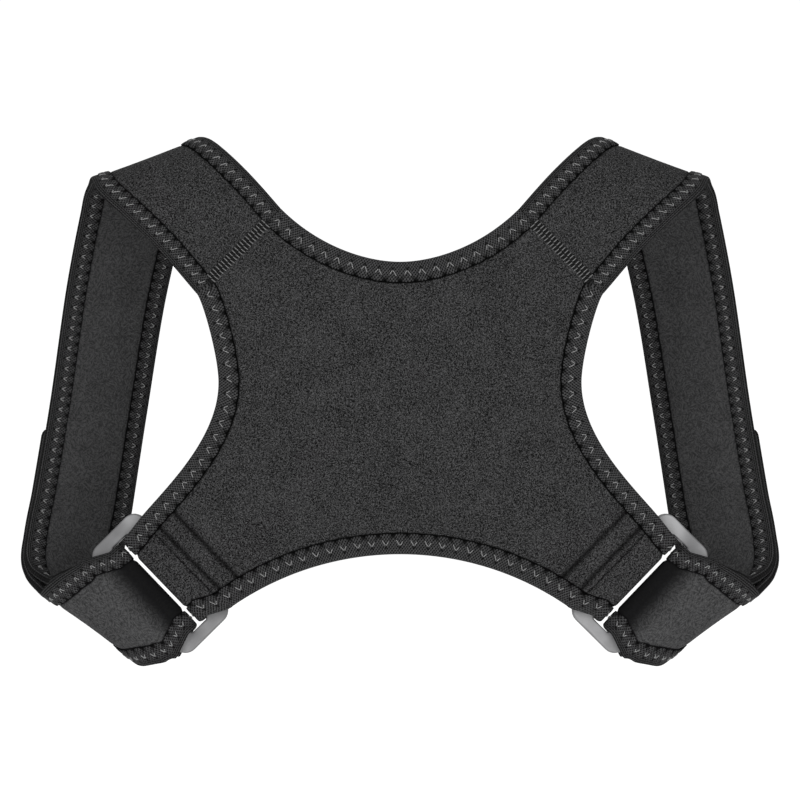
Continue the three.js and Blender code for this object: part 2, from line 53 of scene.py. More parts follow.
# The studio: a white floor well below the brace, a white surround and large soft lamps.
FLOOR_DROP = 0.55
FLOOR_HALF = 6.0
FLOOR_PAINT = {"Base Color": (0.93, 0.93, 0.93, 1), "Roughness": 0.8,
               "Emission Color": (1, 1, 1, 1), "Emission Strength": 0.5}
SURROUND_LIGHT, SURROUND_SEEN = 0.62, 1.05
SOFT_LAMPS = [
    {"name": "key", "place": (-1.1, -1.9, 1.5), "size": 1.5, "power": 34},
    {"name": "fill", "place": (1.5, -1.7, 0.5), "size": 1.6, "power": 20},
    {"name": "rim", "place": (0.0, 1.4, 1.6), "size": 1.2, "power": 16},
]
scene.view_settings.view_transform = "Standard"
corners = [(x * FLOOR_HALF, y * FLOOR_HALF, -FLOOR_DROP) for x, y in ((-1, -1), (1, -1), (1, 1), (-1, 1))]
floor_mesh = bpy.data.meshes.new("floor")
floor_mesh.from_pydata(corners, [], [(0, 1, 2, 3)])
floor = bpy.data.objects.new("floor", floor_mesh)
scene.collection.objects.link(floor)
floor_paint = bpy.data.materials.new("floor_paint")
floor_paint.use_nodes = True
for label, value in FLOOR_PAINT.items():
    floor_paint.node_tree.nodes["Principled BSDF"].inputs[label].default_value = value
floor_mesh.materials.append(floor_paint)

surround = bpy.data.worlds.new("surround")
surround.use_nodes = True
scene.world = surround
nodes, links = surround.node_tree.nodes, surround.node_tree.links
backdrop = nodes["Background"]
path = nodes.new("ShaderNodeLightPath")
level = nodes.new("ShaderNodeMapRange")
level.inputs["To Min"].default_value = SURROUND_LIGHT
level.inputs["To Max"].default_value = SURROUND_SEEN
links.new(path.outputs["Is Camera Ray"], level.inputs["Value"])
links.new(level.outputs["Result"], backdrop.inputs["Strength"])
backdrop.inputs["Color"].default_value = (1, 1, 1, 1)
for lamp in SOFT_LAMPS:
    data = bpy.data.lights.new(lamp["name"], "AREA")
    data.size = lamp["size"]
    data.energy = lamp["power"]
    light = bpy.data.objects.new(lamp["name"], data)
    light.location = lamp["place"]
    light.rotation_euler = (-light.location).to_track_quat("-Z", "Y").to_euler()
    scene.collection.objects.link(light)

# Back panel. Laminated neoprene, 3 mm, cut to a cross with four arms: brushed loop cloth on the
# outside and smooth jersey inside. The two lower arms are turned in round the slide rings and
# held there by two rows of stitching.
NEOPRENE = 3.0
EDGE_WALL = 2.2
TAPE_WALL = 1.0
TAPE_COVER = 12.0
EDGE_TAPER = 2.5
CLEARANCE = 0.3
STRAP_WIDTH = 72.0
PANEL_HEIGHT = 175.4
WAIST_WIDTH = 218.4
WAIST_HEIGHT = 15.3
BACK_RADIUS = 1000.0
SEAM_OUT, SEAM_UP = 96.8, 94.1
UPPER_ARM_ANGLE = 45.0
ARMHOLE_UPPER_PULL, ARMHOLE_LOWER_PULL = 16.0, 35.0
ARMHOLE_SEAM_PULL, ARMHOLE_HEM_PULL = 5.0, 22.0
NECK_MIDDLE_PULL, NECK_SEAM_PULL = 21.0, 32.0
RING_OUT, RING_DOWN = 145.9, 106.1
LOWER_ARM_ANGLE = 44.6
RING_LENGTH, RING_WIDTH, RING_THICKNESS = 86.5, 41.5, 3.6
SLOT_WIDTH = 12.8
RING_CLEARANCE = 0.5
CLOTH_IN_SLOT = 68.8
HEM_START, HEM_LENGTH = 20.0, 42.0
HEM_FLARE_ARMHOLE, HEM_FLARE_BOTTOM = 1.5, 6.2
HEM_CLOSE, HEM_REST = 7.0, 1.5
HEM_TAPER = 6.0
HEM_ROWS = (24.7, 37.3)
HEM_GROOVE, HEM_GROOVE_WIDTH = 1.1, 1.7
CLOTH_STEP = 1.6
# The cloth swells beside its tape over a short way, and falls off again towards the middle
PILLOW, PILLOW_WAY = 0.35, 5.0
PILLOW_FALL, PILLOW_FALL_FROM, PILLOW_FALL_TO = 0.6, 6.0, 40.0
# Distances along the hem: its swell round the ring's bar grows, falls, and ends before its end
HEM_SWELL_GROWS, HEM_SWELL_FALLS, HEM_SWELL_ENDS = (4, 12), (26, 34), (28, 36)

TAPE_NOSE = CLEARANCE + TAPE_WALL
THIN_REACH = TAPE_COVER - TAPE_NOSE + CLEARANCE
BOUND_HALF = EDGE_WALL / 2 + CLEARANCE + TAPE_WALL
LAYER_STEP = 2 * BOUND_HALF + CLEARANCE + 0.1
RING_SEAT = RING_THICKNESS / 2 + RING_CLEARANCE + BOUND_HALF
BAR_EDGE = SLOT_WIDTH / 2 + RING_THICKNESS / 2
SIDES = {"right": 1, "left": -1}


def heading(degrees):
    """The unit direction at an angle up from level."""
    return np.array([math.cos(math.radians(degrees)), math.sin(math.radians(degrees))])


ALONG_RING = heading(90 - LOWER_ARM_ANGLE)
ACROSS_RING = heading(-LOWER_ARM_ANGLE)
ALONG_SEAM = heading(UPPER_ARM_ANGLE - 90)
RING_MIDDLE = np.array([RING_OUT, -RING_DOWN])
SEAM_MIDDLE = np.array([SEAM_OUT, SEAM_UP])


def eased(value, low, high):
    """0 below low, 1 above high and a soft ramp between them."""
    share = np.clip((value - low) / (high - low), 0, 1)
    return share * share * (3 - 2 * share)


def on_back(pattern, lift):
    """Points of the flat pattern laid on the bent back and lifted off it to the outside."""
    x, z = pattern[..., 0], pattern[..., 1]
    slope = x / BACK_RADIUS
    size = np.sqrt(1 + slope**2)
    depth = x * x / (2 * BACK_RADIUS) - NEOPRENE / 2
    return np.stack([x + lift * slope / size, depth - lift / size, z + 0 * lift], axis=-1)


def at_ring(along, across, out):
    """Points by their place along the right ring's slot, across it and outwards."""
    along, across = np.broadcast_arrays(along, across)
    pattern = RING_MIDDLE + along[..., None] * ALONG_RING + across[..., None] * ACROSS_RING
    return on_back(pattern, out - RING_SEAT)


def bezier(start, first, second, end, steps):
    """Points along a cubic curve with two handles."""
    t = np.linspace(0, 1, steps + 1)[:, None]
    return (1 - t) ** 3 * start + 3 * (1 - t) ** 2 * t * first + 3 * (1 - t) * t**2 * second + t**3 * end


def level_arc(height, end, steps):
    """An arc that leaves the centre line level at a height and ends at a given point."""
    climb = end[1] - height
    sweep = 2 * math.atan2(abs(climb), end[0])
    radius = end[0] / math.sin(sweep)
    angle = np.linspace(0, sweep, steps + 1)
    return np.stack([radius * np.sin(angle), height + np.sign(climb) * radius * (1 - np.cos(angle))], axis=1)


def hem_edges(distance):
    """The two bound edges of the hem, along the slot, at distances from the slot's middle."""
    share = np.clip((distance - BAR_EDGE) / (HEM_START - BAR_EDGE), 0, 1)
    half = CLOTH_IN_SLOT / 2 - TAPE_NOSE
    return half + share * HEM_FLARE_ARMHOLE, -half - share * HEM_FLARE_BOTTOM


seam_half = STRAP_WIDTH / 2 - TAPE_NOSE
seam_line = SEAM_MIDDLE + np.linspace(-seam_half, seam_half, 48)[:, None] * ALONG_SEAM
hem_top, hem_bottom = (float(edge) for edge in hem_edges(HEM_START))
hem_along = np.linspace(hem_top, hem_bottom, 52)
hem_line = RING_MIDDLE + hem_along[:, None] * ALONG_RING - HEM_START * ACROSS_RING
half_height = PANEL_HEIGHT / 2 - TAPE_NOSE
waist = np.array([WAIST_WIDTH / 2 - TAPE_NOSE, WAIST_HEIGHT])
strap_way = np.array([-ALONG_SEAM[1], ALONG_SEAM[0]])
arm_way = heading(-LOWER_ARM_ANGLE - HEM_TAPER)
neck_middle = np.array([0, half_height])
neck_half = bezier(neck_middle, neck_middle + (NECK_MIDDLE_PULL, 0),
                   seam_line[0] - NECK_SEAM_PULL * strap_way, seam_line[0], 84)
bottom_half = level_arc(-half_height, hem_line[-1], 110)
armhole = np.concatenate([
    bezier(seam_line[-1], seam_line[-1] - ARMHOLE_SEAM_PULL * strap_way,
           waist + (0, ARMHOLE_UPPER_PULL), waist, 52)[:-1],
    bezier(waist, waist - (0, ARMHOLE_LOWER_PULL),
           hem_line[0] - ARMHOLE_HEM_PULL * arm_way, hem_line[0], 80),
])
MIRROR = np.array([-1, 1])
neck = np.concatenate([(neck_half * MIRROR)[:0:-1], neck_half])
bottom = np.concatenate([(bottom_half * MIRROR)[:0:-1], bottom_half])[::-1]
outline = np.concatenate([
    neck, seam_line[1:], armhole[1:], hem_line[1:], bottom[1:],
    (hem_line * MIRROR)[-2::-1], (armhole * MIRROR)[-2::-1], (seam_line * MIRROR)[-2:0:-1],
])
bound_lines = [neck, armhole, bottom, armhole * MIRROR]


def from_lines(points, lines):
    """How far each point is from the nearest of several lines."""
    best = np.full(len(points), np.inf)
    for line in lines:
        for start, end in zip(line[:-1], line[1:]):
            way = end - start
            share = np.clip(((points - start) @ way) / (way @ way), 0, 1)
            best = np.minimum(best, np.linalg.norm(points - start - share[:, None] * way, axis=1))
    return best


def within(points, loop):
    """Which points lie inside a closed loop."""
    inside = np.zeros(len(points), bool)
    for (x1, z1), (x2, z2) in zip(loop, np.roll(loop, -1, axis=0)):
        crosses = (z1 > points[:, 1]) != (z2 > points[:, 1])
        if crosses.any():
            inside ^= crosses & (points[:, 0] < (x2 - x1) * (points[:, 1] - z1) / (z2 - z1 + 1e-12) + x1)
    return inside


def smooth_object(name, points, faces, cut, finishes):
    """A smooth body from points in millimetres, with the place of each on the flat cut."""
    mesh = bpy.data.meshes.new(name)
    mesh.from_pydata(points / 1000, [], faces)
    mesh.polygons.foreach_set("use_smooth", np.ones(len(faces), bool))
    places = mesh.attributes.new("cut", "FLOAT_VECTOR", "POINT")
    places.data.foreach_set("vector", cut.astype(np.float32).ravel())
    for material in finishes:
        mesh.materials.append(material)
    made = bpy.data.objects.new(name, mesh)
    scene.collection.objects.link(made)
    return made


def cloth_object(name, outer, inner, faces, cut, finishes):
    """A closed wall of cloth: its outer face, inner face and the edge between have a finish each."""
    count = len(outer)
    sides = {(start, end) for face in faces for start, end in zip(face, face[1:] + face[:1])}
    open_sides = [(start, end) for start, end in sorted(sides) if (end, start) not in sides]
    rim = [(end, start, start + count, end + count) for start, end in open_sides]
    under = [tuple(corner + count for corner in reversed(face)) for face in faces]
    made = smooth_object(name, np.concatenate([outer, inner]), list(faces) + under + rim,
                         np.concatenate([cut, cut]), finishes)
    finish_at = np.repeat([0, 1, 2], [len(faces), len(under), len(rim)])
    made.data.polygons.foreach_set("material_index", finish_at)
    made.data.validate()
    return made


def grid_faces(rows, columns, start=0):
    """Four-sided faces of a grid of points."""
    return [
        (start + row * columns + column, start + row * columns + column + 1,
         start + (row + 1) * columns + column + 1, start + (row + 1) * columns + column)
        for row in range(rows - 1) for column in range(columns - 1)
    ]


def travelled(line):
    """The distance along a line at each of its points."""
    return np.concatenate([[0], np.cumsum(np.linalg.norm(np.diff(line, axis=0), axis=1))])


def even(line, step):
    """A line again with points about a step apart."""
    along = travelled(line)
    at = np.linspace(0, along[-1], max(2, int(round(along[-1] / step)) + 1))
    return np.stack([np.interp(at, along, line[:, k]) for k in range(line.shape[1])], axis=1)


def wall_half(reach):
    """Half the cloth's wall at a distance from its bound edge: squeezed under the tape."""
    return EDGE_WALL / 2 + (NEOPRENE - EDGE_WALL) / 2 * eased(reach, THIN_REACH, THIN_REACH + EDGE_TAPER)


def relief(points, reach):
    """The swell of the outer face: full beside the tape, with a dent along each row of the hem."""
    right = np.stack([np.abs(points[:, 0]), points[:, 1]], axis=1)
    across = (right - RING_MIDDLE) @ ACROSS_RING
    swell = PILLOW * eased(reach, THIN_REACH, THIN_REACH + PILLOW_WAY)
    swell = swell * (1 - PILLOW_FALL * eased(reach, THIN_REACH + PILLOW_FALL_FROM, PILLOW_FALL_TO))
    for row in HEM_ROWS:
        swell = swell - HEM_GROOVE * np.exp(-(((across + row) / HEM_GROOVE_WIDTH) ** 2))
    return swell


def pattern_points():
    """The panel's outline and an even net of points inside it."""
    low, high = outline.min(axis=0), outline.max(axis=0)
    levels = np.arange(low[1], high[1], CLOTH_STEP * math.sqrt(3) / 2)
    rows = [np.arange(low[0] + (k % 2) * CLOTH_STEP / 2, high[0], CLOTH_STEP) for k in range(len(levels))]
    net = np.concatenate([
        np.stack([row, np.full(len(row), level)], axis=1) for row, level in zip(rows, levels)])
    net = net[within(net, outline)]
    closed = np.concatenate([outline, outline[:1]])
    return np.concatenate([outline, net[from_lines(net, [closed]) > CLOTH_STEP * 0.6]])


points = pattern_points()
count = len(outline)
flat_points, _, flat_faces, _, _, _ = delaunay_2d_cdt(
    [tuple(point) for point in points], [], [list(range(count))], 1, 1e-4)
flat_points = np.array([tuple(point) for point in flat_points])
reach = from_lines(flat_points, bound_lines)
half = wall_half(reach)
outer = [on_back(flat_points, half + relief(flat_points, reach))]
inner = [on_back(flat_points, -half)]
cut = [np.concatenate([flat_points, reach[:, None]], axis=1)]
faces = [tuple(face) for face in flat_faces]


def hem_course():
    """The hem's way round the ring, as places across and out of it with the cloth's outward direction."""
    turn = np.linspace(0, math.pi, 30)
    rest = RING_SEAT - LAYER_STEP
    fold_end = -RING_WIDTH / 2 - HEM_REST
    fall = np.linspace(0, 1, 10)
    course = np.concatenate([
        [[-HEM_START, RING_SEAT]],
        np.stack([-BAR_EDGE + RING_SEAT * np.sin(turn), RING_SEAT * np.cos(turn)], axis=1),
        np.stack([fold_end - HEM_CLOSE * fall, -RING_SEAT + (rest + RING_SEAT) * eased(fall, 0, 1)], axis=1),
        [[-HEM_LENGTH, rest]],
    ])
    course = even(course, 1.3)
    way = np.gradient(course, axis=0)
    way /= np.linalg.norm(way, axis=1)[:, None]
    return course, np.stack([-way[:, 1], way[:, 0]], axis=1)


def nearest(points, wanted):
    """The index of the point that lies nearest to each wanted one."""
    return [int(np.argmin(((points - place) ** 2).sum(axis=1))) for place in wanted]


hem_way, hem_out = hem_course()
hem_length = travelled(hem_way)
start = len(flat_points)
columns = len(hem_along)
for side in (1, -1):
    flip = np.array([side, 1, 1])
    for (across, out), (lean, up), length in list(zip(hem_way, hem_out, hem_length))[1:]:
        top, low = hem_edges(-across)
        along = np.linspace(top, low, columns)
        inset = np.minimum(top - along, along - low)
        walls = wall_half(inset)
        round_bar = eased(length, *HEM_SWELL_GROWS) * (1 - eased(length, *HEM_SWELL_FALLS))
        full = PILLOW + (BOUND_HALF - NEOPRENE / 2 - PILLOW) * round_bar
        swell = full * eased(inset, THIN_REACH - 1, THIN_REACH + 3) * (1 - eased(length, *HEM_SWELL_ENDS))
        place = RING_MIDDLE + along[:, None] * ALONG_RING + (length - HEM_START) * ACROSS_RING
        outer.append(at_ring(along, across + (walls + swell) * lean, out + (walls + swell) * up) * flip)
        inner.append(at_ring(along, across - walls * lean, out - walls * up) * flip)
        cut.append(np.stack([place[:, 0], place[:, 1], inset], axis=1) * flip)
    first = nearest(flat_points, hem_line * (side, 1))
    rest = grid_faces(len(hem_way) - 1, columns, start)
    seam = [(first[k], first[k + 1], start + k + 1, start + k) for k in range(columns - 1)]
    faces += [face[::-1] for face in seam + rest] if side > 0 else seam + rest
    start += (len(hem_way) - 1) * columns


def add(tree, kind, inputs, **settings):
    """A shader node with its settings. Each input is a value or the output of another node."""
    made = tree.nodes.new(kind)
    for key, value in settings.items():
        setattr(made, key, value)
    for key, value in inputs.items():
        if isinstance(value, bpy.types.NodeSocket):
            tree.links.new(value, made.inputs[key])
        else:
            made.inputs[key].default_value = value
    return made


def effect(name, sizes, outputs):
    """A node group that several finishes use, with the place and sizes it takes and the masks it gives."""
    group = bpy.data.node_groups.new(name, "ShaderNodeTree")
    group.interface.new_socket("Cut", in_out="INPUT", socket_type="NodeSocketVector")
    for label in sizes:
        group.interface.new_socket(label, in_out="INPUT", socket_type="NodeSocketFloat")
    for label in outputs:
        group.interface.new_socket(label, in_out="OUTPUT", socket_type="NodeSocketFloat")
    return group, group.nodes.new("NodeGroupInput").outputs, group.nodes.new("NodeGroupOutput").inputs


def maths(tree, operation, first, second=0.0):
    """The result of a sum on values or outputs."""
    return add(tree, "ShaderNodeMath", {0: first, 1: second}, operation=operation).outputs[0]


def moved_place(tree, operation, first, second):
    """The result of a sum on places."""
    return add(tree, "ShaderNodeVectorMath", {0: first, 1: second}, operation=operation).outputs[0]


def plus(tree, first, *others):
    """The sum of several values or outputs."""
    for other in others:
        first = maths(tree, "ADD", first, other)
    return first


def times(tree, first, *others):
    """The product of several values or outputs."""
    for other in others:
        first = maths(tree, "MULTIPLY", first, other)
    return first


def less(tree, first, second):
    """The difference of two values or outputs."""
    return maths(tree, "SUBTRACT", first, second)


def parts_of(tree, place):
    """The three numbers of a place."""
    return add(tree, "ShaderNodeSeparateXYZ", {0: place}).outputs


def noise(tree, place, scale, detail):
    """Soft noise with the given scale at a place."""
    return add(tree, "ShaderNodeTexNoise", {"Vector": place, "Scale": scale, "Detail": detail}).outputs[0]


def finish(name, roughness, specular):
    """A new material with its shader, and the place on the flat cut that its detail is laid out by."""
    material = bpy.data.materials.new(name)
    material.use_nodes = True
    tree = material.node_tree
    shader = tree.nodes["Principled BSDF"]
    shader.inputs["Roughness"].default_value = roughness
    shader.inputs["Specular IOR Level"].default_value = specular
    place = add(tree, "ShaderNodeAttribute", {}, attribute_name="cut").outputs["Vector"]
    return material, tree, shader, place


def coloured(tree, shader, share, dark, light):
    """A base colour between two greys, by a mask. Each is its red and green, and its blue."""
    inputs = {"Factor": share, "A": (dark[0], dark[0], dark[1], 1), "B": (light[0], light[0], light[1], 1)}
    mixed = add(tree, "ShaderNodeMix", inputs, data_type="RGBA").outputs["Result"]
    tree.links.new(mixed, shader.inputs["Base Color"])


def raised(tree, shader, height, depth):
    """Fine relief in the shading, with its depth in millimetres."""
    bump = add(tree, "ShaderNodeBump", {"Height": height, "Distance": depth / 1000, "Strength": 1.0})
    tree.links.new(bump.outputs["Normal"], shader.inputs["Normal"])


# Fibres that lie every way, as brushed loops and lint do. Sizes are millimetres
fibres, given, gives = effect("lying_fibres", ["Length", "Width", "Patch"], ["Fibres", "Mottle"])
FIBRE_LAYERS = (0.0, 37.0)
FIBRE_LEVELS = (0.87, 1.15)
MOTTLE_SCALE = 0.045
layers = []
flat_cut = moved_place(fibres, "MULTIPLY", given["Cut"], (1, 1, 0))
for shift in FIBRE_LAYERS:
    moved = moved_place(fibres, "ADD", flat_cut, (shift, shift, shift))
    patch = add(fibres, "ShaderNodeTexVoronoi",
                {"Vector": moved, "Scale": maths(fibres, "DIVIDE", 1.0, given["Patch"])})
    apart = add(fibres, "ShaderNodeSeparateColor", {0: patch.outputs["Color"]})
    angle = times(fibres, apart.outputs[0], 2 * math.pi)
    turned = add(fibres, "ShaderNodeVectorRotate", {"Vector": moved, "Angle": angle}, rotation_type="Z_AXIS")
    sizes = add(fibres, "ShaderNodeCombineXYZ", {0: given["Length"], 1: given["Width"], 2: 1.0}).outputs[0]
    drawn = moved_place(fibres, "DIVIDE", turned.outputs[0], sizes)
    layer = add(fibres, "ShaderNodeTexNoise", {
        "Vector": drawn, "Scale": 1.0, "Detail": 2.0, "Roughness": 0.6})
    layers.append(layer.outputs[0])
spread = add(fibres, "ShaderNodeMapRange", {
    "Value": plus(fibres, *layers), "From Min": FIBRE_LEVELS[0], "From Max": FIBRE_LEVELS[1]})
fibres.links.new(spread.outputs[0], gives["Fibres"])
fibres.links.new(noise(fibres, flat_cut, MOTTLE_SCALE, 2.0), gives["Mottle"])


def placed(tree, group, place, **sizes):
    """An effect put into a finish with its own sizes."""
    made = add(tree, "ShaderNodeGroup", {}, node_tree=group)
    tree.links.new(place, made.inputs["Cut"])
    for label, value in sizes.items():
        made.inputs[label].default_value = value
    return made.outputs


def ramp(tree, value, low, high, low_out=0.0, high_out=1.0):
    """A soft ramp of a value between two of its levels."""
    return add(tree, "ShaderNodeMapRange", {
        "Value": value, "From Min": low, "From Max": high, "To Min": low_out, "To Max": high_out,
    }, interpolation_type="SMOOTHSTEP").outputs[0]


def bell(tree, value, centre, width):
    """1 where a value is at a level, falling to 0 away from it."""
    away = maths(tree, "DIVIDE", less(tree, value, centre), width)
    return maths(tree, "EXPONENT", times(tree, away, away, -1.0))


def painted_crease_shade(tree, place):
    """Painted shade along the deep line in which the cloth meets the inner edge of its binding."""
    wavy = times(tree, noise(tree, place, CREASE_WAVES, 1.0), CREASE_WAVE)
    return ramp(tree, plus(tree, parts_of(tree, place)[2], wavy), *CREASE_SHADE, 1.0, 0.0)


def hem_groove_shade(tree, place):
    """Painted shade along the rows of stitching, in the lines that they pull into the lower arms."""
    x, z, _ = parts_of(tree, place)
    out = times(tree, less(tree, maths(tree, "ABSOLUTE", x), RING_OUT), float(ACROSS_RING[0]))
    up = times(tree, plus(tree, z, RING_DOWN), float(ACROSS_RING[1]))
    across = plus(tree, out, up, times(tree, noise(tree, place, HEM_WAVES, 2.0), HEM_WAVE))
    rows = [bell(tree, across, HEM_WAVE / 2 - row, HEM_SHADE_WIDTH) for row in HEM_ROWS]
    return times(tree, maths(tree, "MAXIMUM", *rows), HEM_SHADE)


# Painted shade in the deep line beside each binding: the reach over which it fades, and the size and depth of
# its waver
CREASE_SHADE, CREASE_WAVES, CREASE_WAVE = (11.8, 12.9), 0.4, 0.9
# Painted shade along the hem's rows of stitching: its strength, width and waver
HEM_SHADE, HEM_SHADE_WIDTH, HEM_WAVES, HEM_WAVE = 0.8, 1.7, 0.15, 1.6
LOOP_DARK, LOOP_LIGHT = (0.002, 0.002), (0.062, 0.063)
LOOP_SIZES = {"Length": 1.5, "Width": 0.62, "Patch": 2.0}


def loop_finish(name, specular, mottle, marks):
    """Brushed loop cloth, darkened by painted shade in the lines that its marks draw."""
    material, tree, shader, place = finish(name, 1.0, specular)
    nap = placed(tree, fibres, place, **LOOP_SIZES)
    lit = plus(tree, nap["Fibres"], times(tree, less(tree, nap["Mottle"], 0.5), mottle))
    # Painted shade: each mark darkens the cloth's colour
    for mark in marks:
        lit = times(tree, lit, less(tree, 1.0, mark(tree, place)))
    coloured(tree, shader, lit, LOOP_DARK, LOOP_LIGHT)
    raised(tree, shader, nap["Fibres"], 0.3)
    return material


brushed = loop_finish("brushed_loop_cloth", 0.03, 0.35, [painted_crease_shade, hem_groove_shade])

JERSEY_DARK, JERSEY_LIGHT = (0.004, 0.0042), (0.06, 0.061)
JERSEY_WALE = 0.7
# Bands of a wave texture to a unit of its scale
WAVE_BANDS = 3.18


def jersey_finish(name, turned_from):
    """Smooth jersey. Turned outwards past a place along it, it is stretched and at first in shade."""
    material, tree, shader, place = finish(name, 1.0, 0.03)
    lint = placed(tree, fibres, place, Length=3.0, Width=0.9, Patch=4.0)
    wale = add(tree, "ShaderNodeTexWave", {
        "Vector": place, "Scale": 1 / JERSEY_WALE / WAVE_BANDS, "Distortion": 0.6}, bands_direction="X")
    knit = plus(tree, times(tree, wale.outputs["Fac"], 0.3), times(tree, lint["Fibres"], 0.5),
                times(tree, lint["Mottle"], 0.3))
    if turned_from:
        across, along, _ = parts_of(tree, place)
        grid = times(tree, *[maths(tree, "COSINE", times(tree, way, 2 * math.pi / GRID_STEP))
                             for way in (across, along)])
        turned = ramp(tree, along, turned_from, turned_from + GRID_GROWS)
        knit = plus(tree, knit, times(tree, grid, turned, GRID_DEPTH))
        shaded = ramp(tree, along, *(turned_from + edge for edge in SLOT_SHADE), *SLOT_LEVELS)
        before = ramp(tree, along, *(turned_from - edge for edge in SLOT_SHADE_START), 1.0, 0.0)
        knit = times(tree, knit, maths(tree, "MAXIMUM", shaded, before))
    # painted shade in the deep line beside the binding
    lit = times(tree, knit, less(tree, 1.0, painted_crease_shade(tree, place)))
    coloured(tree, shader, lit, JERSEY_DARK, JERSEY_LIGHT)
    raised(tree, shader, knit, 0.1)
    return material


jersey = jersey_finish("smooth_jersey", None)

FOAM_DARK, FOAM_LIGHT = (0.006, 0.006), (0.02, 0.02)
foam, tree, shader, place = finish("foam_edge", 0.9, 0.25)
cells = add(tree, "ShaderNodeTexVoronoi", {"Scale": 2500.0})
tree.links.new(add(tree, "ShaderNodeNewGeometry", {}).outputs["Position"], cells.inputs["Vector"])
coloured(tree, shader, cells.outputs["Distance"], FOAM_DARK, FOAM_LIGHT)
raised(tree, shader, cells.outputs["Distance"], 0.1)
panel = cloth_object("back_panel_cloth", np.concatenate(outer), np.concatenate(inner), faces,
                     np.concatenate(cut), [brushed, jersey, foam])


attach(panel, "root")
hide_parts("back_panel")

# Slide rings: flat moulded plastic rectangles with one slot, bent like the back they lie on.
RING_CORNER, SLOT_CORNER, SLOT_LENGTH = 8.0, 1.2, 70.2
RING_ROUNDING = 1.3
RING_POINTS = 160
PLASTIC_DARK, PLASTIC_LIGHT = (0.06, 0.062), (0.24, 0.244)
# Painted shade: how much darker the round edges are than the flat faces
RIM_SHADE = 0.85
plastic, tree, shader, place = finish("grey_plastic", 0.42, 0.5)
position = add(tree, "ShaderNodeNewGeometry", {}).outputs["Position"]
# Painted light and shade in slow random patches across the face, and painted shade on the round edges
painted_light_patches = ramp(tree, noise(tree, position, 40.0, 2.0), 0.3, 0.7, 0.25, 1.0)
on_face = less(tree, 1.0, parts_of(tree, place)[0])
coloured(tree, shader, times(tree, painted_light_patches, on_face), PLASTIC_DARK, PLASTIC_LIGHT)
raised(tree, shader, noise(tree, position, 1800.0, 3.0), 0.03)


def rounded_loop(length, width, corner):
    """A rectangle with round corners, as points evenly shared among its corners and sides."""
    loop = []
    for turn, (x, y) in enumerate([(1, 1), (-1, 1), (-1, -1), (1, -1)]):
        centre = np.array([x * (length / 2 - corner), y * (width / 2 - corner)])
        angle = np.radians(np.linspace(turn * 90, turn * 90 + 90, RING_POINTS // 8))
        loop.append(centre + corner * np.stack([np.cos(angle), np.sin(angle)], axis=1))
    loop = np.concatenate([*loop, loop[0][:1]])
    resampled = []
    per_side = RING_POINTS // 4
    for turn in range(4):
        arc = loop[turn * (RING_POINTS // 8):(turn + 1) * (RING_POINTS // 8) + 1]
        resampled.append(even(arc, np.linalg.norm(np.diff(arc, axis=0), axis=1).sum() / per_side)[:per_side])
    return np.concatenate(resampled)


def ring_object(name, side):
    """The plate between its outline and its slot, with round edges all along."""
    outside = rounded_loop(RING_LENGTH, RING_WIDTH, RING_CORNER)
    inside = rounded_loop(SLOT_LENGTH, SLOT_WIDTH, SLOT_CORNER)
    angle = np.linspace(-math.pi / 2, math.pi / 2, 9)
    flat = RING_THICKNESS / 2 - RING_ROUNDING
    way = inside - outside
    way /= np.linalg.norm(way, axis=1)[:, None]
    inset = (1 - np.cos(angle)) * RING_ROUNDING
    lift = RING_ROUNDING * np.sin(angle) + flat * np.sign(angle)
    places = [outside + way * step for step in inset] + [inside - way * step for step in inset[::-1]]
    points = [at_ring(place[:, 0], place[:, 1], np.full(len(place), height)) * (side, 1, 1)
              for place, height in zip(places, np.concatenate([lift, lift[::-1]]))]
    # Painted shade, strongest along the middle of each round edge and none on the flat faces; the finish
    # reads it from the cut attribute
    rim = np.sqrt(np.abs(np.cos(np.concatenate([angle, angle])))) * RIM_SHADE
    rows, columns = len(points), len(outside)
    faces = [
        (r * columns + c, r * columns + (c + 1) % columns,
         ((r + 1) % rows) * columns + (c + 1) % columns, ((r + 1) % rows) * columns + c)
        for r in range(rows) for c in range(columns)
    ]
    shade = np.repeat(rim, columns)
    return smooth_object(name, np.concatenate(points), faces if side < 0 else [face[::-1] for face in faces],
                         np.stack([shade, 0 * shade, 0 * shade], axis=1), [plastic])


for name, side in SIDES.items():
    ring = ring_object(f"{name}_slide_ring", side)
    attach(ring, "root")
    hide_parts(f"{name}_ring")

# Shoulder straps. The same laminate, 72 mm wide over its bindings. Each is sewn to an upper arm
# of the panel, runs over the shoulder and down in front, comes back through the slide ring and
# doubles back over itself with its smooth side out.
SHOULDER_RISE, SIDE_REACH, LOOP_DEPTH, UNDERARM_DROP = 56.8, 77.5, 88.0, 18.6
FREE_LENGTH = 166.0
ROW_STEP, COLUMN_COUNT = 1.5, 49
SHARE_STEP = 1e-5
SLOT_ROWS = 48
TIP_CORNER = 5.0
# The smooth side's grid past the ring, and how its shade falls off from there and begins before
GRID_STEP, GRID_GROWS, GRID_DEPTH = 1.15, 3.0, 0.22
SLOT_SHADE, SLOT_LEVELS, SLOT_SHADE_START = (7.0, 24.0), (0.05, 1.2), (14.0, 8.0)
BAR_ROUND = (8, 18)
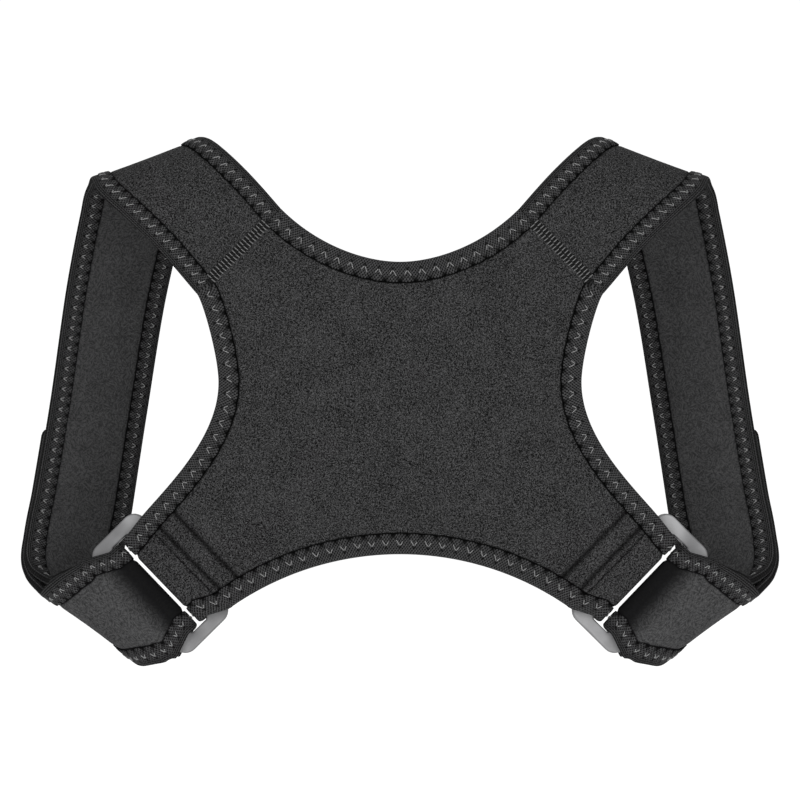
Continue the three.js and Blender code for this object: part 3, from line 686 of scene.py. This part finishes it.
# A row for each place: along is the share of the way from seam to ring, out, deep, up and down
# are shares of the loop's sizes, slant and turn lean the strap's width, wide shares its width
COURSE_COLUMNS = ("along", "out", "deep", "up", "down", "slant", "turn", "wide")
COURSE = [dict(zip(COURSE_COLUMNS, row)) for row in (
    (0, 0.27, 0.02, 0.42, 0, -42, 0, 0.99),
    (0, 0.53, 0.1, 0.76, 0, -33, -3, 0.99),
    (0, 0.71, 0.24, 0.96, 0, -25, -6, 1),
    (0, 0.765, 0.41, 1, 0, -20, -10, 0.99),
    (0, 0.81, 0.6, 0.84, 0, -11, -17, 0.98),
    (0, 0.9, 0.73, 0.48, 0, 1, -25, 0.95),
    (0.1, 0.985, 0.85, 0, 0, 9.5, -30, 0.94),
    (0.47, 0.91, 0.92, 0, 0, 9.5, -31, 0.93),
    (0.76, 0.845, 0.89, 0, 0, 11, -29, 0.93),
    (0.92, 0.803, 0.797, 0, 0, 18.7, -25.9, 0.925),
    (1, 0.681, 0.674, 0, 0.297, 22.5, -23.1, 0.995),
    (1, 0.609, 0.537, 0, 0.781, 29.2, -17, 0.887),
    (1, 0.532, 0.359, 0, 0.991, 35.8, -4.8, 0.861),
    (1, 0.403, 0.217, 0, 1.05, 42, 5, 0.88),
)]
APPROACH = [
    {"past": 7.0, "along": 3.4, "out": 0.45, "wide": 1.01},
    {"past": 1.4, "along": 1.36, "out": 0.0, "wide": 1.13},
]


def spline(knots, shares, centripetal):
    """Points of a Catmull-Rom curve through knots that are evenly spread over the shares 0 to 1."""
    knots = np.array(knots, float)
    padded = np.concatenate([[2 * knots[0] - knots[1]], knots, [2 * knots[-1] - knots[-2]]])
    spot = np.clip(np.asarray(shares, float), 0, 1) * (len(knots) - 1)
    index = np.minimum(spot.astype(int), len(knots) - 2)
    w = (spot - index)[:, None]
    p0, p1, p2, p3 = (padded[index + k] for k in range(4))
    if centripetal:
        d0, d1, d2 = (np.sqrt(np.linalg.norm(b - a, axis=1))[:, None]
                      for a, b in ((p0, p1), (p1, p2), (p2, p3)))
        first = ((p1 - p0) / d0 - (p2 - p0) / (d0 + d1) + (p2 - p1) / d1) * d1
        last = ((p2 - p1) / d1 - (p3 - p1) / (d1 + d2) + (p3 - p2) / d2) * d1
    else:
        first, last = (p2 - p0) / 2, (p3 - p1) / 2
    return (p1 + first * w + (3 * (p2 - p1) - 2 * first - last) * w**2
            + (2 * (p1 - p2) + first + last) * w**3)


seam_point, ring_point = on_back(SEAM_MIDDLE, 0), on_back(RING_MIDDLE, 0)


def course_centre(row):
    """The strap's middle at a row of its course."""
    base = seam_point + (ring_point - seam_point) * row["along"]
    rise = row["up"] * SHOULDER_RISE - row["down"] * UNDERARM_DROP
    return base + (row["out"] * SIDE_REACH, row["deep"] * LOOP_DEPTH, rise)


def ring_turn(across):
    """The lean of the bent back under the ring, seen along its slot."""
    return math.atan(ALONG_RING[0] * (RING_OUT + across * ACROSS_RING[0]) / BACK_RADIUS)


centres = [
    on_back(SEAM_MIDDLE + CLEARANCE * strap_way, 0),
    *[course_centre(row) for row in COURSE],
    *[at_ring(row["along"], RING_WIDTH / 2 + row["past"], -RING_SEAT - row["out"]) for row in APPROACH],
]
leans = [
    (math.radians(UPPER_ARM_ANGLE - 90), math.atan(ALONG_SEAM[0] * SEAM_OUT / BACK_RADIUS), 1),
    *[(math.radians(row["slant"]), math.radians(row["turn"]), row["wide"]) for row in COURSE],
    *[(math.radians(90 - LOWER_ARM_ANGLE), ring_turn(RING_WIDTH / 2 + row["past"]), row["wide"])
      for row in APPROACH],
]
fine_shares = np.linspace(0, 1, 4001)
fine_line = spline(centres, fine_shares, True)
fine_along = travelled(fine_line)
course_length = fine_along[-1]


def share_at(from_ring):
    """The share of the course at a distance back from the ring."""
    return np.interp(course_length - from_ring, fine_along, fine_shares)


def strap_frames(shares):
    """The strap's middle, way, width to the armhole edge, outward direction and half its cloth's width."""
    centre = spline(centres, shares, True)
    before = spline(centres, shares - SHARE_STEP, True)
    way = spline(centres, shares + SHARE_STEP, True) - before
    at_end = shares > 1 - SHARE_STEP
    way[at_end] = (centre - before)[at_end]
    way /= np.linalg.norm(way, axis=1)[:, None]
    slant, turn, wide = spline(leans, shares, False).T
    width = np.stack([np.cos(slant) * np.cos(turn), np.sin(turn), np.sin(slant) * np.cos(turn)], axis=1)
    outward = np.cross(width, way)
    skew = np.linalg.norm(outward, axis=1)[:, None]
    return centre, way, width / skew, outward / skew, STRAP_WIDTH / 2 * wide - TAPE_NOSE


def layer_step(shares):
    """How far the doubled-back layer stands off the one under it."""
    spread = eased(shares, share_at(FREE_LENGTH / 2), share_at(RING_WIDTH / 2))
    return LAYER_STEP + (2 * RING_SEAT - LAYER_STEP) * spread


def strap_rows():
    """The strap's rows from the seam to its tip: middle, width, smooth direction, way and half width."""
    start = np.linspace(0, course_length, int(course_length / ROW_STEP))[:-1]
    shares = np.interp(start, fine_along, fine_shares)
    centre, way, across, outward, half = strap_frames(shares)
    parts = [(centre, across, -outward, way, half)]
    slot_half = CLOTH_IN_SLOT / 2 - TAPE_NOSE
    last = APPROACH[-1]
    leg_end = RING_WIDTH / 2 + last["past"]
    approach_half = STRAP_WIDTH / 2 * last["wide"] - TAPE_NOSE
    turn = np.linspace(math.pi, 0, 26)
    legs = np.linspace(leg_end, BAR_EDGE, 12)[:-1]
    course = np.concatenate([
        np.stack([legs, np.full(len(legs), -RING_SEAT)], axis=1),
        np.stack([BAR_EDGE - RING_SEAT * np.sin(turn), RING_SEAT * np.cos(turn)], axis=1),
        np.stack([legs[::-1], np.full(len(legs), RING_SEAT)], axis=1),
    ])
    lean = np.concatenate([
        np.tile([0.0, -1.0], (len(legs), 1)),
        np.stack([-np.sin(turn), np.cos(turn)], axis=1),
        np.tile([0.0, 1.0], (len(legs), 1)),
    ])
    spread = np.clip((course[:, 0] - BAR_EDGE) / (leg_end - BAR_EDGE), 0, 1)
    half = slot_half + (approach_half - slot_half) * spread
    skew = last["along"] * spread
    middle = at_ring(skew, course[:, 0], course[:, 1])
    smooth = at_ring(skew, course[:, 0] + lean[:, 0], course[:, 1] + lean[:, 1]) - middle
    width = at_ring(skew + 1, course[:, 0], course[:, 1]) - middle
    parts.append((middle, width, smooth, np.gradient(middle, axis=0), half))
    back = np.linspace(course_length, course_length - FREE_LENGTH, int(FREE_LENGTH / ROW_STEP))[1:]
    shares = np.interp(back, fine_along, fine_shares)
    centre, way, across, outward, half = strap_frames(shares)
    parts.append((centre + layer_step(shares)[:, None] * outward, across, outward, -way, half))
    return [np.concatenate([part[k] for part in parts]) for k in range(5)]


middle, width, smooth, way, half = strap_rows()
strap_along = travelled(middle)
strap_length = strap_along[-1]
from_tip = strap_length - strap_along
into_corner = np.clip(TIP_CORNER - from_tip, 0, TIP_CORNER)
half = half - (TIP_CORNER - np.sqrt(TIP_CORNER**2 - into_corner**2))
across_at = half[:, None] * np.linspace(1, -1, COLUMN_COUNT)
strap_reach = np.minimum(half[:, None] - np.abs(across_at), from_tip[:, None])
walls = wall_half(strap_reach)
from_slot = strap_along - strap_along[len(middle) - int(FREE_LENGTH / ROW_STEP) + 1 - SLOT_ROWS // 2]
round_bar = (1 - eased(np.abs(from_slot), *BAR_ROUND))[:, None]
full = PILLOW + (BOUND_HALF - NEOPRENE / 2 - PILLOW) * round_bar
swell = full * eased(strap_reach, THIN_REACH - round_bar, THIN_REACH + PILLOW_WAY - 2 * round_bar)
base = middle[:, None] + across_at[..., None] * width[:, None]
lift = smooth[:, None]
smooth_face = base + (walls + swell)[..., None] * lift
loop_face = base - walls[..., None] * lift
strap_cut = np.stack(np.broadcast_arrays(across_at, strap_along[:, None], strap_reach), axis=-1)
strap_jersey = jersey_finish("turned_jersey", float((strap_along - from_slot)[0]))
strap_loops = loop_finish("strap_loop_cloth", 0.04, 0.3, [painted_crease_shade])
strap_faces = grid_faces(len(middle), COLUMN_COUNT)
for name, side in SIDES.items():
    flip = (side, 1, 1)
    faces = strap_faces if side < 0 else [face[::-1] for face in strap_faces]
    strap = cloth_object(f"{name}_strap_cloth", (smooth_face * flip).reshape(-1, 3),
                         (loop_face * flip).reshape(-1, 3), faces, strap_cut.reshape(-1, 3),
                         [strap_jersey, strap_loops, foam])
    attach(strap, "root")
    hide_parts(f"{name}_strap")

# Binding tape. A woven tape is folded round every edge of the cloth and held by a zigzag of
# lighter thread that goes through both of its sides and pulls its inner edge down.
STATION_STEP = 0.9
TAPE_REACH = TAPE_COVER - TAPE_NOSE
PANEL_PITCH, STRAP_PITCH = 8.25, 6.5
APEX_REACH = 4.1
TAPE_DOME = 0.25
NOSE_STARTS = 0.6
EDGE_SCALLOP = 0.25
THREAD_RADIUS = 0.27
# Half the share of the pitch at which an apex's two legs part, and how far back from its hole
APEX_HALF, APEX_BACK = 0.06, 0.15
# Sizes of the tape's relief: a puff at each apex, a groove along each leg, a tuck at each foot
# and a dent where the needle went in
PUFF_HEIGHT, PUFF_LENGTH, PUFF_REACH, PUFF_WIDTH = 0.32, 2.0, 8.6, 2.2
LEG_DEPTH, LEG_WIDTH = 0.32, 1.2
FOOT_DEPTH, FOOT_LENGTH, FOOT_WIDTH = 0.5, 1.4, 1.6
NEEDLE_DEPTH, NEEDLE_SIZE, NEEDLE_REACH = 0.5, 0.7, APEX_REACH - 0.3
TAPE_DARK, TAPE_LIGHT = (0.001, 0.001), (0.052, 0.053)
RIB_STEP = 1.15
WEAVE_SIZES = {"Along": 1.7, "Across": 1.16}
# A woven tape's crossings: small dark gaps in staggered rows, with ribs running one way between
weave, given, gives = effect("tape_weave", ["Along", "Across", "Lean"], ["Gaps", "Ribs"])
ends_at, side_at, _ = parts_of(weave, given["Cut"])
uneven = times(weave, noise(weave, given["Cut"], 0.35, 1.0), 0.5)
down = plus(weave, maths(weave, "DIVIDE", ends_at, given["Along"]), uneven)
over = maths(weave, "DIVIDE", side_at, times(weave, given["Across"], 2.0))
one = maths(weave, "COSINE", times(weave, plus(weave, down, over), 2 * math.pi))
two = maths(weave, "COSINE", times(weave, less(weave, down, over), 2 * math.pi))
crossing = plus(weave, times(weave, one, given["Lean"]), times(weave, two, less(weave, 1.0, given["Lean"])))
weave.links.new(ramp(weave, crossing, -0.25, 0.6), gives["Gaps"])
weave.links.new(times(weave, less(weave, 1.0, one), 0.5), gives["Ribs"])

# Painted shade where the zigzag goes through a tape: in a hole beyond each apex, a tuck at each foot and the
# sunken part of each leg between them
marks, given, gives = effect("painted_stitch_shade", [], ["Holes", "Legs"])
s_at, reach_at, pitch_at = parts_of(marks, given["Cut"])
phase = less(marks, maths(marks, "FRACT", maths(marks, "DIVIDE", s_at, pitch_at)), 0.5)
from_apex = times(marks, maths(marks, "ABSOLUTE", phase), pitch_at)
to_foot = less(marks, maths(marks, "DIVIDE", pitch_at, 2.0), from_apex)
hole = times(marks, bell(marks, from_apex, 0.0, 0.85), bell(marks, reach_at, APEX_REACH - 1.1, 0.85))
foot = times(marks, bell(marks, to_foot, 0.0, 1.3), bell(marks, reach_at, TAPE_REACH, 1.5))
marks.links.new(maths(marks, "MAXIMUM", hole, foot), gives["Holes"])
on_leg = times(marks, maths(marks, "DIVIDE", from_apex, pitch_at), 2 * (TAPE_REACH - APEX_REACH))
off_leg = bell(marks, less(marks, less(marks, reach_at, APEX_REACH), on_leg), 0.0, 1.0)
inner_part = ramp(marks, reach_at, APEX_REACH + 1.5, TAPE_REACH - 1)
marks.links.new(times(marks, off_leg, inner_part), gives["Legs"])


def tape_finish(name, lean, ribs_until):
    """Woven tape, with its lengthwise ribs showing in the outer part of its width."""
    material, tree, shader, place = finish(name, 0.9, 0.05)
    woven = placed(tree, weave, place, **WEAVE_SIZES, Lean=lean)
    sewn = placed(tree, marks, place)
    fuzz = placed(tree, fibres, place, Length=1.2, Width=0.5, Patch=1.5)
    reach = parts_of(tree, place)[1]
    ribs = maths(tree, "COSINE", times(tree, reach, 2 * math.pi / RIB_STEP))
    outer_part = ramp(tree, reach, ribs_until - 2, ribs_until + 1, 1.0, 0.0)
    ribbed = times(tree, plus(tree, ribs, 1.0), 0.5, outer_part)
    body = less(tree, 1.0, maths(tree, "MAXIMUM", times(tree, woven["Gaps"], 0.95), ribbed))
    shade = plus(tree, times(tree, body, 0.75), times(tree, woven["Ribs"], 0.1))
    # Painted shade: darker in the zigzag's needle holes, foot tucks and sunken legs
    shade = times(tree, shade, plus(tree, times(tree, fuzz["Fibres"], 0.8), 0.5),
                  less(tree, 1.0, sewn["Holes"]), less(tree, 1.0, times(tree, sewn["Legs"], 0.7)))
    coloured(tree, shader, shade, TAPE_DARK, TAPE_LIGHT)
    raised(tree, shader, less(tree, body, sewn["Holes"]), 0.2)
    return material


panel_tape = tape_finish("panel_binding_tape", 0.55, -1.0)
strap_tape = tape_finish("strap_binding_tape", 0.5, 3.0)


def thread_finish(name, dark, light):
    """Twisted thread, its plies running slantwise round it."""
    material, tree, shader, place = finish(name, 0.5, 0.3)
    run, angle, _ = parts_of(tree, place)
    ply = ramp(tree, maths(tree, "SINE", plus(tree, times(tree, run, PLY_TURN), angle)), -1.0, 1.0)
    coloured(tree, shader, ply, (dark, dark), (light, light))
    raised(tree, shader, ply, 0.08)
    return material


PLY_TURN = 7.0
thread = thread_finish("zigzag_thread", 0.07, 0.26)


def tape_section():
    """The folded tape's outside and inside, as reach from the cloth's edge and height off its middle."""
    face = np.linspace(TAPE_REACH, NOSE_STARTS, 13)
    turn = np.linspace(math.pi / 2, -math.pi / 2, 11)[1:-1]
    nose_reach = NOSE_STARTS - (TAPE_NOSE + NOSE_STARTS) * np.cos(turn)
    nose = np.stack([nose_reach, BOUND_HALF * np.sin(turn)], axis=1)
    edge = BOUND_HALF - TAPE_WALL
    outside = np.concatenate([
        np.stack([face, np.full(len(face), BOUND_HALF)], axis=1), nose,
        np.stack([face[::-1], np.full(len(face), -BOUND_HALF)], axis=1),
    ])
    upper = np.array([[-CLEARANCE, edge], [TAPE_REACH, edge], [TAPE_REACH + 0.2, BOUND_HALF - TAPE_WALL / 2]])
    inside = np.concatenate([upper[::-1] * (1, -1), upper])
    return outside, inside


def zigzag_form(s, reach, pitch):
    """How high the tape stands at places along and across it, and how far its inner edge is pushed in."""
    phase = s / pitch - np.floor(s / pitch) - 0.5
    along = np.abs(phase) * pitch
    leg = np.abs(reach - APEX_REACH - (TAPE_REACH - APEX_REACH) * 2 * np.abs(phase))
    dome = TAPE_DOME * np.sin(math.pi * np.clip((reach + TAPE_NOSE) / TAPE_COVER, 0, 1))
    puff = PUFF_HEIGHT * np.exp(-(along / PUFF_LENGTH) ** 2 - ((reach - PUFF_REACH) / PUFF_WIDTH) ** 2)
    groove = LEG_DEPTH * np.exp(-((leg / LEG_WIDTH) ** 2)) * eased(reach, APEX_REACH - 1, TAPE_REACH)
    tuck = FOOT_DEPTH * np.exp(-(((pitch / 2 - along) / FOOT_LENGTH) ** 2)
                               - ((TAPE_REACH - reach) / FOOT_WIDTH) ** 2)
    dent = NEEDLE_DEPTH * np.exp(-(along / NEEDLE_SIZE) ** 2 - ((reach - NEEDLE_REACH) / NEEDLE_SIZE) ** 2)
    push = EDGE_SCALLOP * np.cos(2 * math.pi * phase) * eased(reach, TAPE_REACH - 3, TAPE_REACH)
    return dome + puff - groove - tuck - dent, push


def route_at(route, at):
    """Edge points, inward and outward directions at distances along a route."""
    along = travelled(route[:, :3])
    station = np.stack([np.interp(at, along, column) for column in route.T], axis=-1)
    return station[..., :3], station[..., 3:6], station[..., 6:]


def binding_object(name, route, wanted_pitch, tape, seen):
    """A tape folded along a route, and its zigzag. Seen is the share of each leg that shows, by face."""
    length = travelled(route[:, :3])[-1]
    pitch = length / round(length / wanted_pitch)
    at = np.linspace(0, length, int(length / STATION_STEP) + 1)
    edge, inward, outward = (part[:, None] for part in route_at(route, at))
    outside, inside = tape_section()
    section = np.concatenate([outside, inside])
    reach = np.broadcast_to(section[:, 0], (len(at), len(section)))
    height, push = zigzag_form(at[:, None], reach, pitch)
    on_face = np.arange(len(section)) < len(outside)
    lift = section[:, 1] + height * np.sign(section[:, 1]) * on_face
    points = edge + (reach + push)[..., None] * inward + lift[..., None] * outward
    rows, columns = points.shape[:2]
    faces = tube_faces(rows, columns)
    cut = np.stack([np.broadcast_to(at[:, None], reach.shape), reach, np.full(reach.shape, pitch)], axis=-1)
    made = solid_object(name, points.reshape(-1, 3), faces, cut.reshape(-1, 3), tape)
    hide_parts(name.removesuffix("_tape"))
    lines, ups = [], []
    share = np.linspace(0, 1, 9)
    rise = THREAD_RADIUS * (1.1 - 2.2 * eased(share, 0.7, 1.0) - 1.4 * (1 - eased(share, 0, 0.15)))
    for face in (1, -1):
        for apex in np.arange(0.5 * pitch, length, pitch):
            for leg in (-1, 1):
                shown = seen[0 if face > 0 else 1][0 if leg < 0 else 1]
                s = apex + leg * pitch / 2 * (APEX_HALF + (1 - APEX_HALF) * shown * share)
                if s.min() < 0 or s.max() > length:
                    continue
                r = APEX_REACH + APEX_BACK + (TAPE_REACH - APEX_REACH) * shown * share
                height, push = zigzag_form(s, r, pitch)
                edge, inward, outward = route_at(route, s)
                lift = face * (BOUND_HALF + height + rise)
                lines.append(edge + (r + push)[:, None] * inward + lift[:, None] * outward)
                ups.append(outward)
    stitches = thread_object(name.replace("binding", "zigzag"), np.array(lines), np.array(ups),
                             THREAD_RADIUS, thread)
    return [made, stitches]


def tube_faces(rows, columns, first=0):
    """Faces of a tube of rows of points, closed round and at both ends."""
    faces = [
        (first + r * columns + c, first + r * columns + (c + 1) % columns,
         first + (r + 1) * columns + (c + 1) % columns, first + (r + 1) * columns + c)
        for r in range(rows - 1) for c in range(columns)
    ]
    last = first + (rows - 1) * columns
    return [*faces, tuple(range(first, first + columns))[::-1], tuple(range(last, last + columns))]


def solid_object(name, points, faces, cut, material):
    """A closed smooth body with its faces turned outwards, riding with the brace."""
    volume = 0.0
    for face in faces:
        a, b, c = (points[corner] for corner in (face[0], face[1], face[-1]))
        volume += np.dot(a, np.cross(b, c))
    faces = faces if volume > 0 else [face[::-1] for face in faces]
    made = smooth_object(name, points, faces, cut, [material])
    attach(made, "root")
    return made


def thread_object(name, lines, ups, radius, material):
    """Short threads as one mesh: a closed tube along each of many lines with the same number of points."""
    way = np.gradient(lines, axis=1)
    way /= np.linalg.norm(way, axis=2)[..., None]
    side = np.cross(way, ups)
    side /= np.linalg.norm(side, axis=2)[..., None]
    up = np.cross(side, way)
    angle = np.linspace(0, 2 * math.pi, 8, endpoint=False)
    round_way = side[:, :, None] * np.cos(angle)[:, None] + up[:, :, None] * np.sin(angle)[:, None]
    tube = lines[:, :, None] + radius * round_way
    count, steps, around = tube.shape[:3]
    faces = [face for line in range(count) for face in tube_faces(steps, around, line * steps * around)]
    run = np.array([travelled(line) for line in lines])
    cut = np.stack(np.broadcast_arrays(run[:, :, None], angle, np.arange(count)[:, None, None]), axis=-1)
    return solid_object(name, tube.reshape(-1, 3), faces, cut.reshape(-1, 3), material)


def panel_route(line, first_inward, last_inward):
    """Route along a bound edge of the flat pattern, which runs clockwise seen from outside."""
    way = np.gradient(line, axis=0)
    inward = np.stack([way[:, 1], -way[:, 0]], axis=1) / np.linalg.norm(way, axis=1)[:, None]
    if first_inward is not None:
        inward[0] = first_inward
    if last_inward is not None:
        inward[-1] = last_inward
    edge = on_back(line, 0)
    return np.concatenate([edge, on_back(line + inward, 0) - edge, on_back(line, 1) - edge], axis=1)


def hem_route(side_of_arm, mirror):
    """Route along an edge of the hem round the ring, from the panel on."""
    rows = []
    for (across, out), (lean, up) in list(zip(hem_way, hem_out))[1:]:
        top, low = hem_edges(-across)
        along = top if side_of_arm > 0 else low
        edge = at_ring(along, across, out)
        inward = at_ring(along - side_of_arm, across, out) - edge
        outward = at_ring(along, across + lean, out + up) - edge
        rows.append(np.concatenate([edge * mirror, inward * mirror, outward * mirror]))
    return np.array(rows)


# The share of each leg of the zigzag that shows, outside and inside. The rest sinks into the tape
PANEL_SEEN = [(0.36, 0.5), (0.4, 0.4)]
STRAP_SEEN = [(0.36, 0.36), (0.6, 0.2)]
SAME, FLIPPED = np.array([1, 1, 1]), np.array([-1, 1, 1])
armhole_route = np.concatenate([panel_route(armhole, -ALONG_SEAM, -ALONG_RING), hem_route(1, SAME)])
bottom_route = np.concatenate([
    hem_route(-1, SAME)[::-1],
    panel_route(bottom, ALONG_RING, ALONG_RING * MIRROR),
    hem_route(-1, FLIPPED),
])
panel_trim = []
for name, route in {
    "neck_binding_tape": panel_route(neck, ALONG_SEAM * MIRROR, ALONG_SEAM),
    "bottom_binding_tape": bottom_route,
    "right_armhole_binding_tape": armhole_route,
    "left_armhole_binding_tape": armhole_route * np.tile(FLIPPED, 3),
}.items():
    panel_trim += binding_object(name, route, PANEL_PITCH, panel_tape, PANEL_SEEN)


def strap_route():
    """Route down one edge of the strap, round its free end and back along the other."""
    unit_way = way / np.linalg.norm(way, axis=1)[:, None]
    edges = []
    for side in (1, -1):
        share = np.clip(1 - from_tip / TAPE_REACH, 0, 1)[:, None]
        inward = -side * width - share * unit_way
        edges.append(np.concatenate([middle + side * half[:, None] * width, inward, smooth], axis=1))
    across = np.linspace(half[-1], -half[-1], 90)[1:-1]
    share = np.clip(1 - (half[-1] - np.abs(across)) / TAPE_REACH, 0, 1)
    inward = -unit_way[-1] - (share * np.sign(across))[:, None] * width[-1]
    tip = np.concatenate([
        middle[-1] + across[:, None] * width[-1], inward, np.broadcast_to(smooth[-1], inward.shape)], axis=1)
    return np.concatenate([edges[0], tip, edges[1][::-1]])


one_strap_route = strap_route()
for name, side in SIDES.items():
    route = one_strap_route * (np.tile(FLIPPED, 3) if side < 0 else 1)
    binding_object(
        f"{name}_strap_binding_tape", route, STRAP_PITCH, strap_tape, STRAP_SEEN)

# Shoulder seams. Each strap meets its arm of the panel edge to edge, and a flatlock stitch
# covers the join on both faces: two rows of short cross threads on a dark bed of covering thread.
SEAM_REACH, SEAM_COVER = 25.0, 3.3
SEAM_PITCH, SEAM_ROW, SEAM_STITCH = 2.3, 1.65, 2.9
SEAM_THREAD, STITCH_LEAN, STITCH_SHIFT = 0.36, 0.35, 0.3
BED_HEIGHT, BED_FALL, BED_EDGE, BED_DEPTH = 0.12, 0.5, 1.2, 0.7
BED_ROWS, BED_COLUMNS = 120, 15
rng = np.random.default_rng(11)
bed_finish, tree, shader, place = finish("seam_covering_thread", 1.0, 0.03)
rows = placed(tree, weave, place, Along=0.9, Across=0.7, Lean=0.0)
coloured(tree, shader, rows["Gaps"], (0.002, 0.002), (0.02, 0.02))
raised(tree, shader, rows["Gaps"], 0.3)
seam_thread = thread_finish("seam_thread", 0.05, 0.15)


def at_seam(along, across, out):
    """Points by their place along the right shoulder seam, across it towards the strap and outwards."""
    shares = np.interp(np.maximum(across, 0), fine_along, fine_shares)
    centre, _, to_armhole, outward, _ = strap_frames(shares)
    on_strap = centre + along[:, None] * to_armhole + out[:, None] * outward
    on_panel = on_back(SEAM_MIDDLE + along[:, None] * ALONG_SEAM + across[:, None] * strap_way, out)
    return np.where(across[:, None] > 0, on_strap, on_panel)


seam_face = NEOPRENE / 2 + PILLOW
along, across = (part.ravel() for part in np.meshgrid(
    np.linspace(-SEAM_REACH, SEAM_REACH, BED_ROWS), np.linspace(-SEAM_COVER, SEAM_COVER, BED_COLUMNS),
    indexing="ij"))
bed_height = BED_HEIGHT - BED_FALL * eased(np.abs(across), SEAM_COVER - BED_EDGE, SEAM_COVER)
bed_cut = np.stack([along, across, 0 * along], axis=1)
bed_faces = grid_faces(BED_ROWS, BED_COLUMNS)
count = int(2 * SEAM_REACH / SEAM_PITCH)
stitch_along = np.tile((np.arange(count) - (count - 1) / 2) * SEAM_PITCH, 2)
stitch_row = np.repeat([SEAM_ROW, -SEAM_ROW], count)
for name, side in SIDES.items():
    for face_name, sign in (("outer", 1), ("inner", -1)):
        top = at_seam(along, across, sign * (seam_face + bed_height)) * (side, 1, 1)
        low = at_seam(along, across, np.full(len(along), sign * (seam_face - BED_DEPTH))) * (side, 1, 1)
        faces = bed_faces if side * sign > 0 else [face[::-1] for face in bed_faces]
        bed = cloth_object(f"{name}_{face_name}_seam_cover", top, low, faces, bed_cut, [bed_finish] * 3)
        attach(bed, "root")
        steps = np.linspace(-0.5, 0.5, 9)
        height = seam_face + BED_HEIGHT + SEAM_THREAD * (1.5 * np.cos(steps * math.pi) ** 0.6 - 0.7)
        lines, ups = [], []
        for u, v in zip(stitch_along, stitch_row):
            line_along = u + (rng.random() - 0.5) * STITCH_SHIFT + steps * STITCH_LEAN
            line_across = v + steps * SEAM_STITCH
            line = at_seam(line_along, line_across, sign * height)
            lines.append(line * (side, 1, 1))
            ups.append((at_seam(line_along, line_across, sign * (height + 1)) - line) * (side, 1, 1))
        stitches = thread_object(f"{name}_{face_name}_seam_stitches", np.array(lines), np.array(ups),
                                 SEAM_THREAD, seam_thread)
        for piece in (bed, stitches):
            panel_trim.append(piece)

# Hook patches, sewn inside the free ends and pressed on the loop cloth of the layer under them.
PATCH_LENGTH, PATCH_INSET = 50.0, 4.0
PATCH_WALL = LAYER_STEP - NEOPRENE - 2 * CLEARANCE
PATCH_ROWS, PATCH_COLUMNS = 34, 26
HOOK_DARK, HOOK_LIGHT = (0.006, 0.006), (0.03, 0.03)
hooks, tree, shader, place = finish("hook_tape", 0.6, 0.4)
rows = placed(tree, weave, place, Along=1.4, Across=1.0, Lean=0.5)
coloured(tree, shader, rows["Gaps"], HOOK_DARK, HOOK_LIGHT)
raised(tree, shader, rows["Gaps"], 0.4)
patch_start = FREE_LENGTH - TAPE_COVER - PATCH_INSET
patch_along = np.linspace(0, PATCH_LENGTH, PATCH_ROWS)
patch_shares = share_at(patch_start - patch_along)
centre, _, across_way, outward, _ = strap_frames(patch_shares)
patch_middle = centre + outward * layer_step(patch_shares)[:, None] / 2
patch_across = np.linspace(-1, 1, PATCH_COLUMNS) * (STRAP_WIDTH / 2 - TAPE_COVER - PATCH_INSET)
patch_base = patch_middle[:, None] + patch_across[:, None] * across_way[:, None]
patch_lift = outward[:, None] * PATCH_WALL / 2
patch_cut = np.stack(np.broadcast_arrays(patch_across, patch_along[:, None], 0.0), axis=-1)
for name, side in SIDES.items():
    faces = grid_faces(PATCH_ROWS, PATCH_COLUMNS)
    faces = [face[::-1] for face in faces] if side < 0 else faces
    upper, lower = ((patch_base + sign * patch_lift) * (side, 1, 1) for sign in (1, -1))
    patch = cloth_object(f"{name}_hook_tape", upper.reshape(-1, 3), lower.reshape(-1, 3), faces,
                         patch_cut.reshape(-1, 3), [hooks, hooks, hooks])
    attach(patch, "root")
    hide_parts(f"{name}_hook_patch")
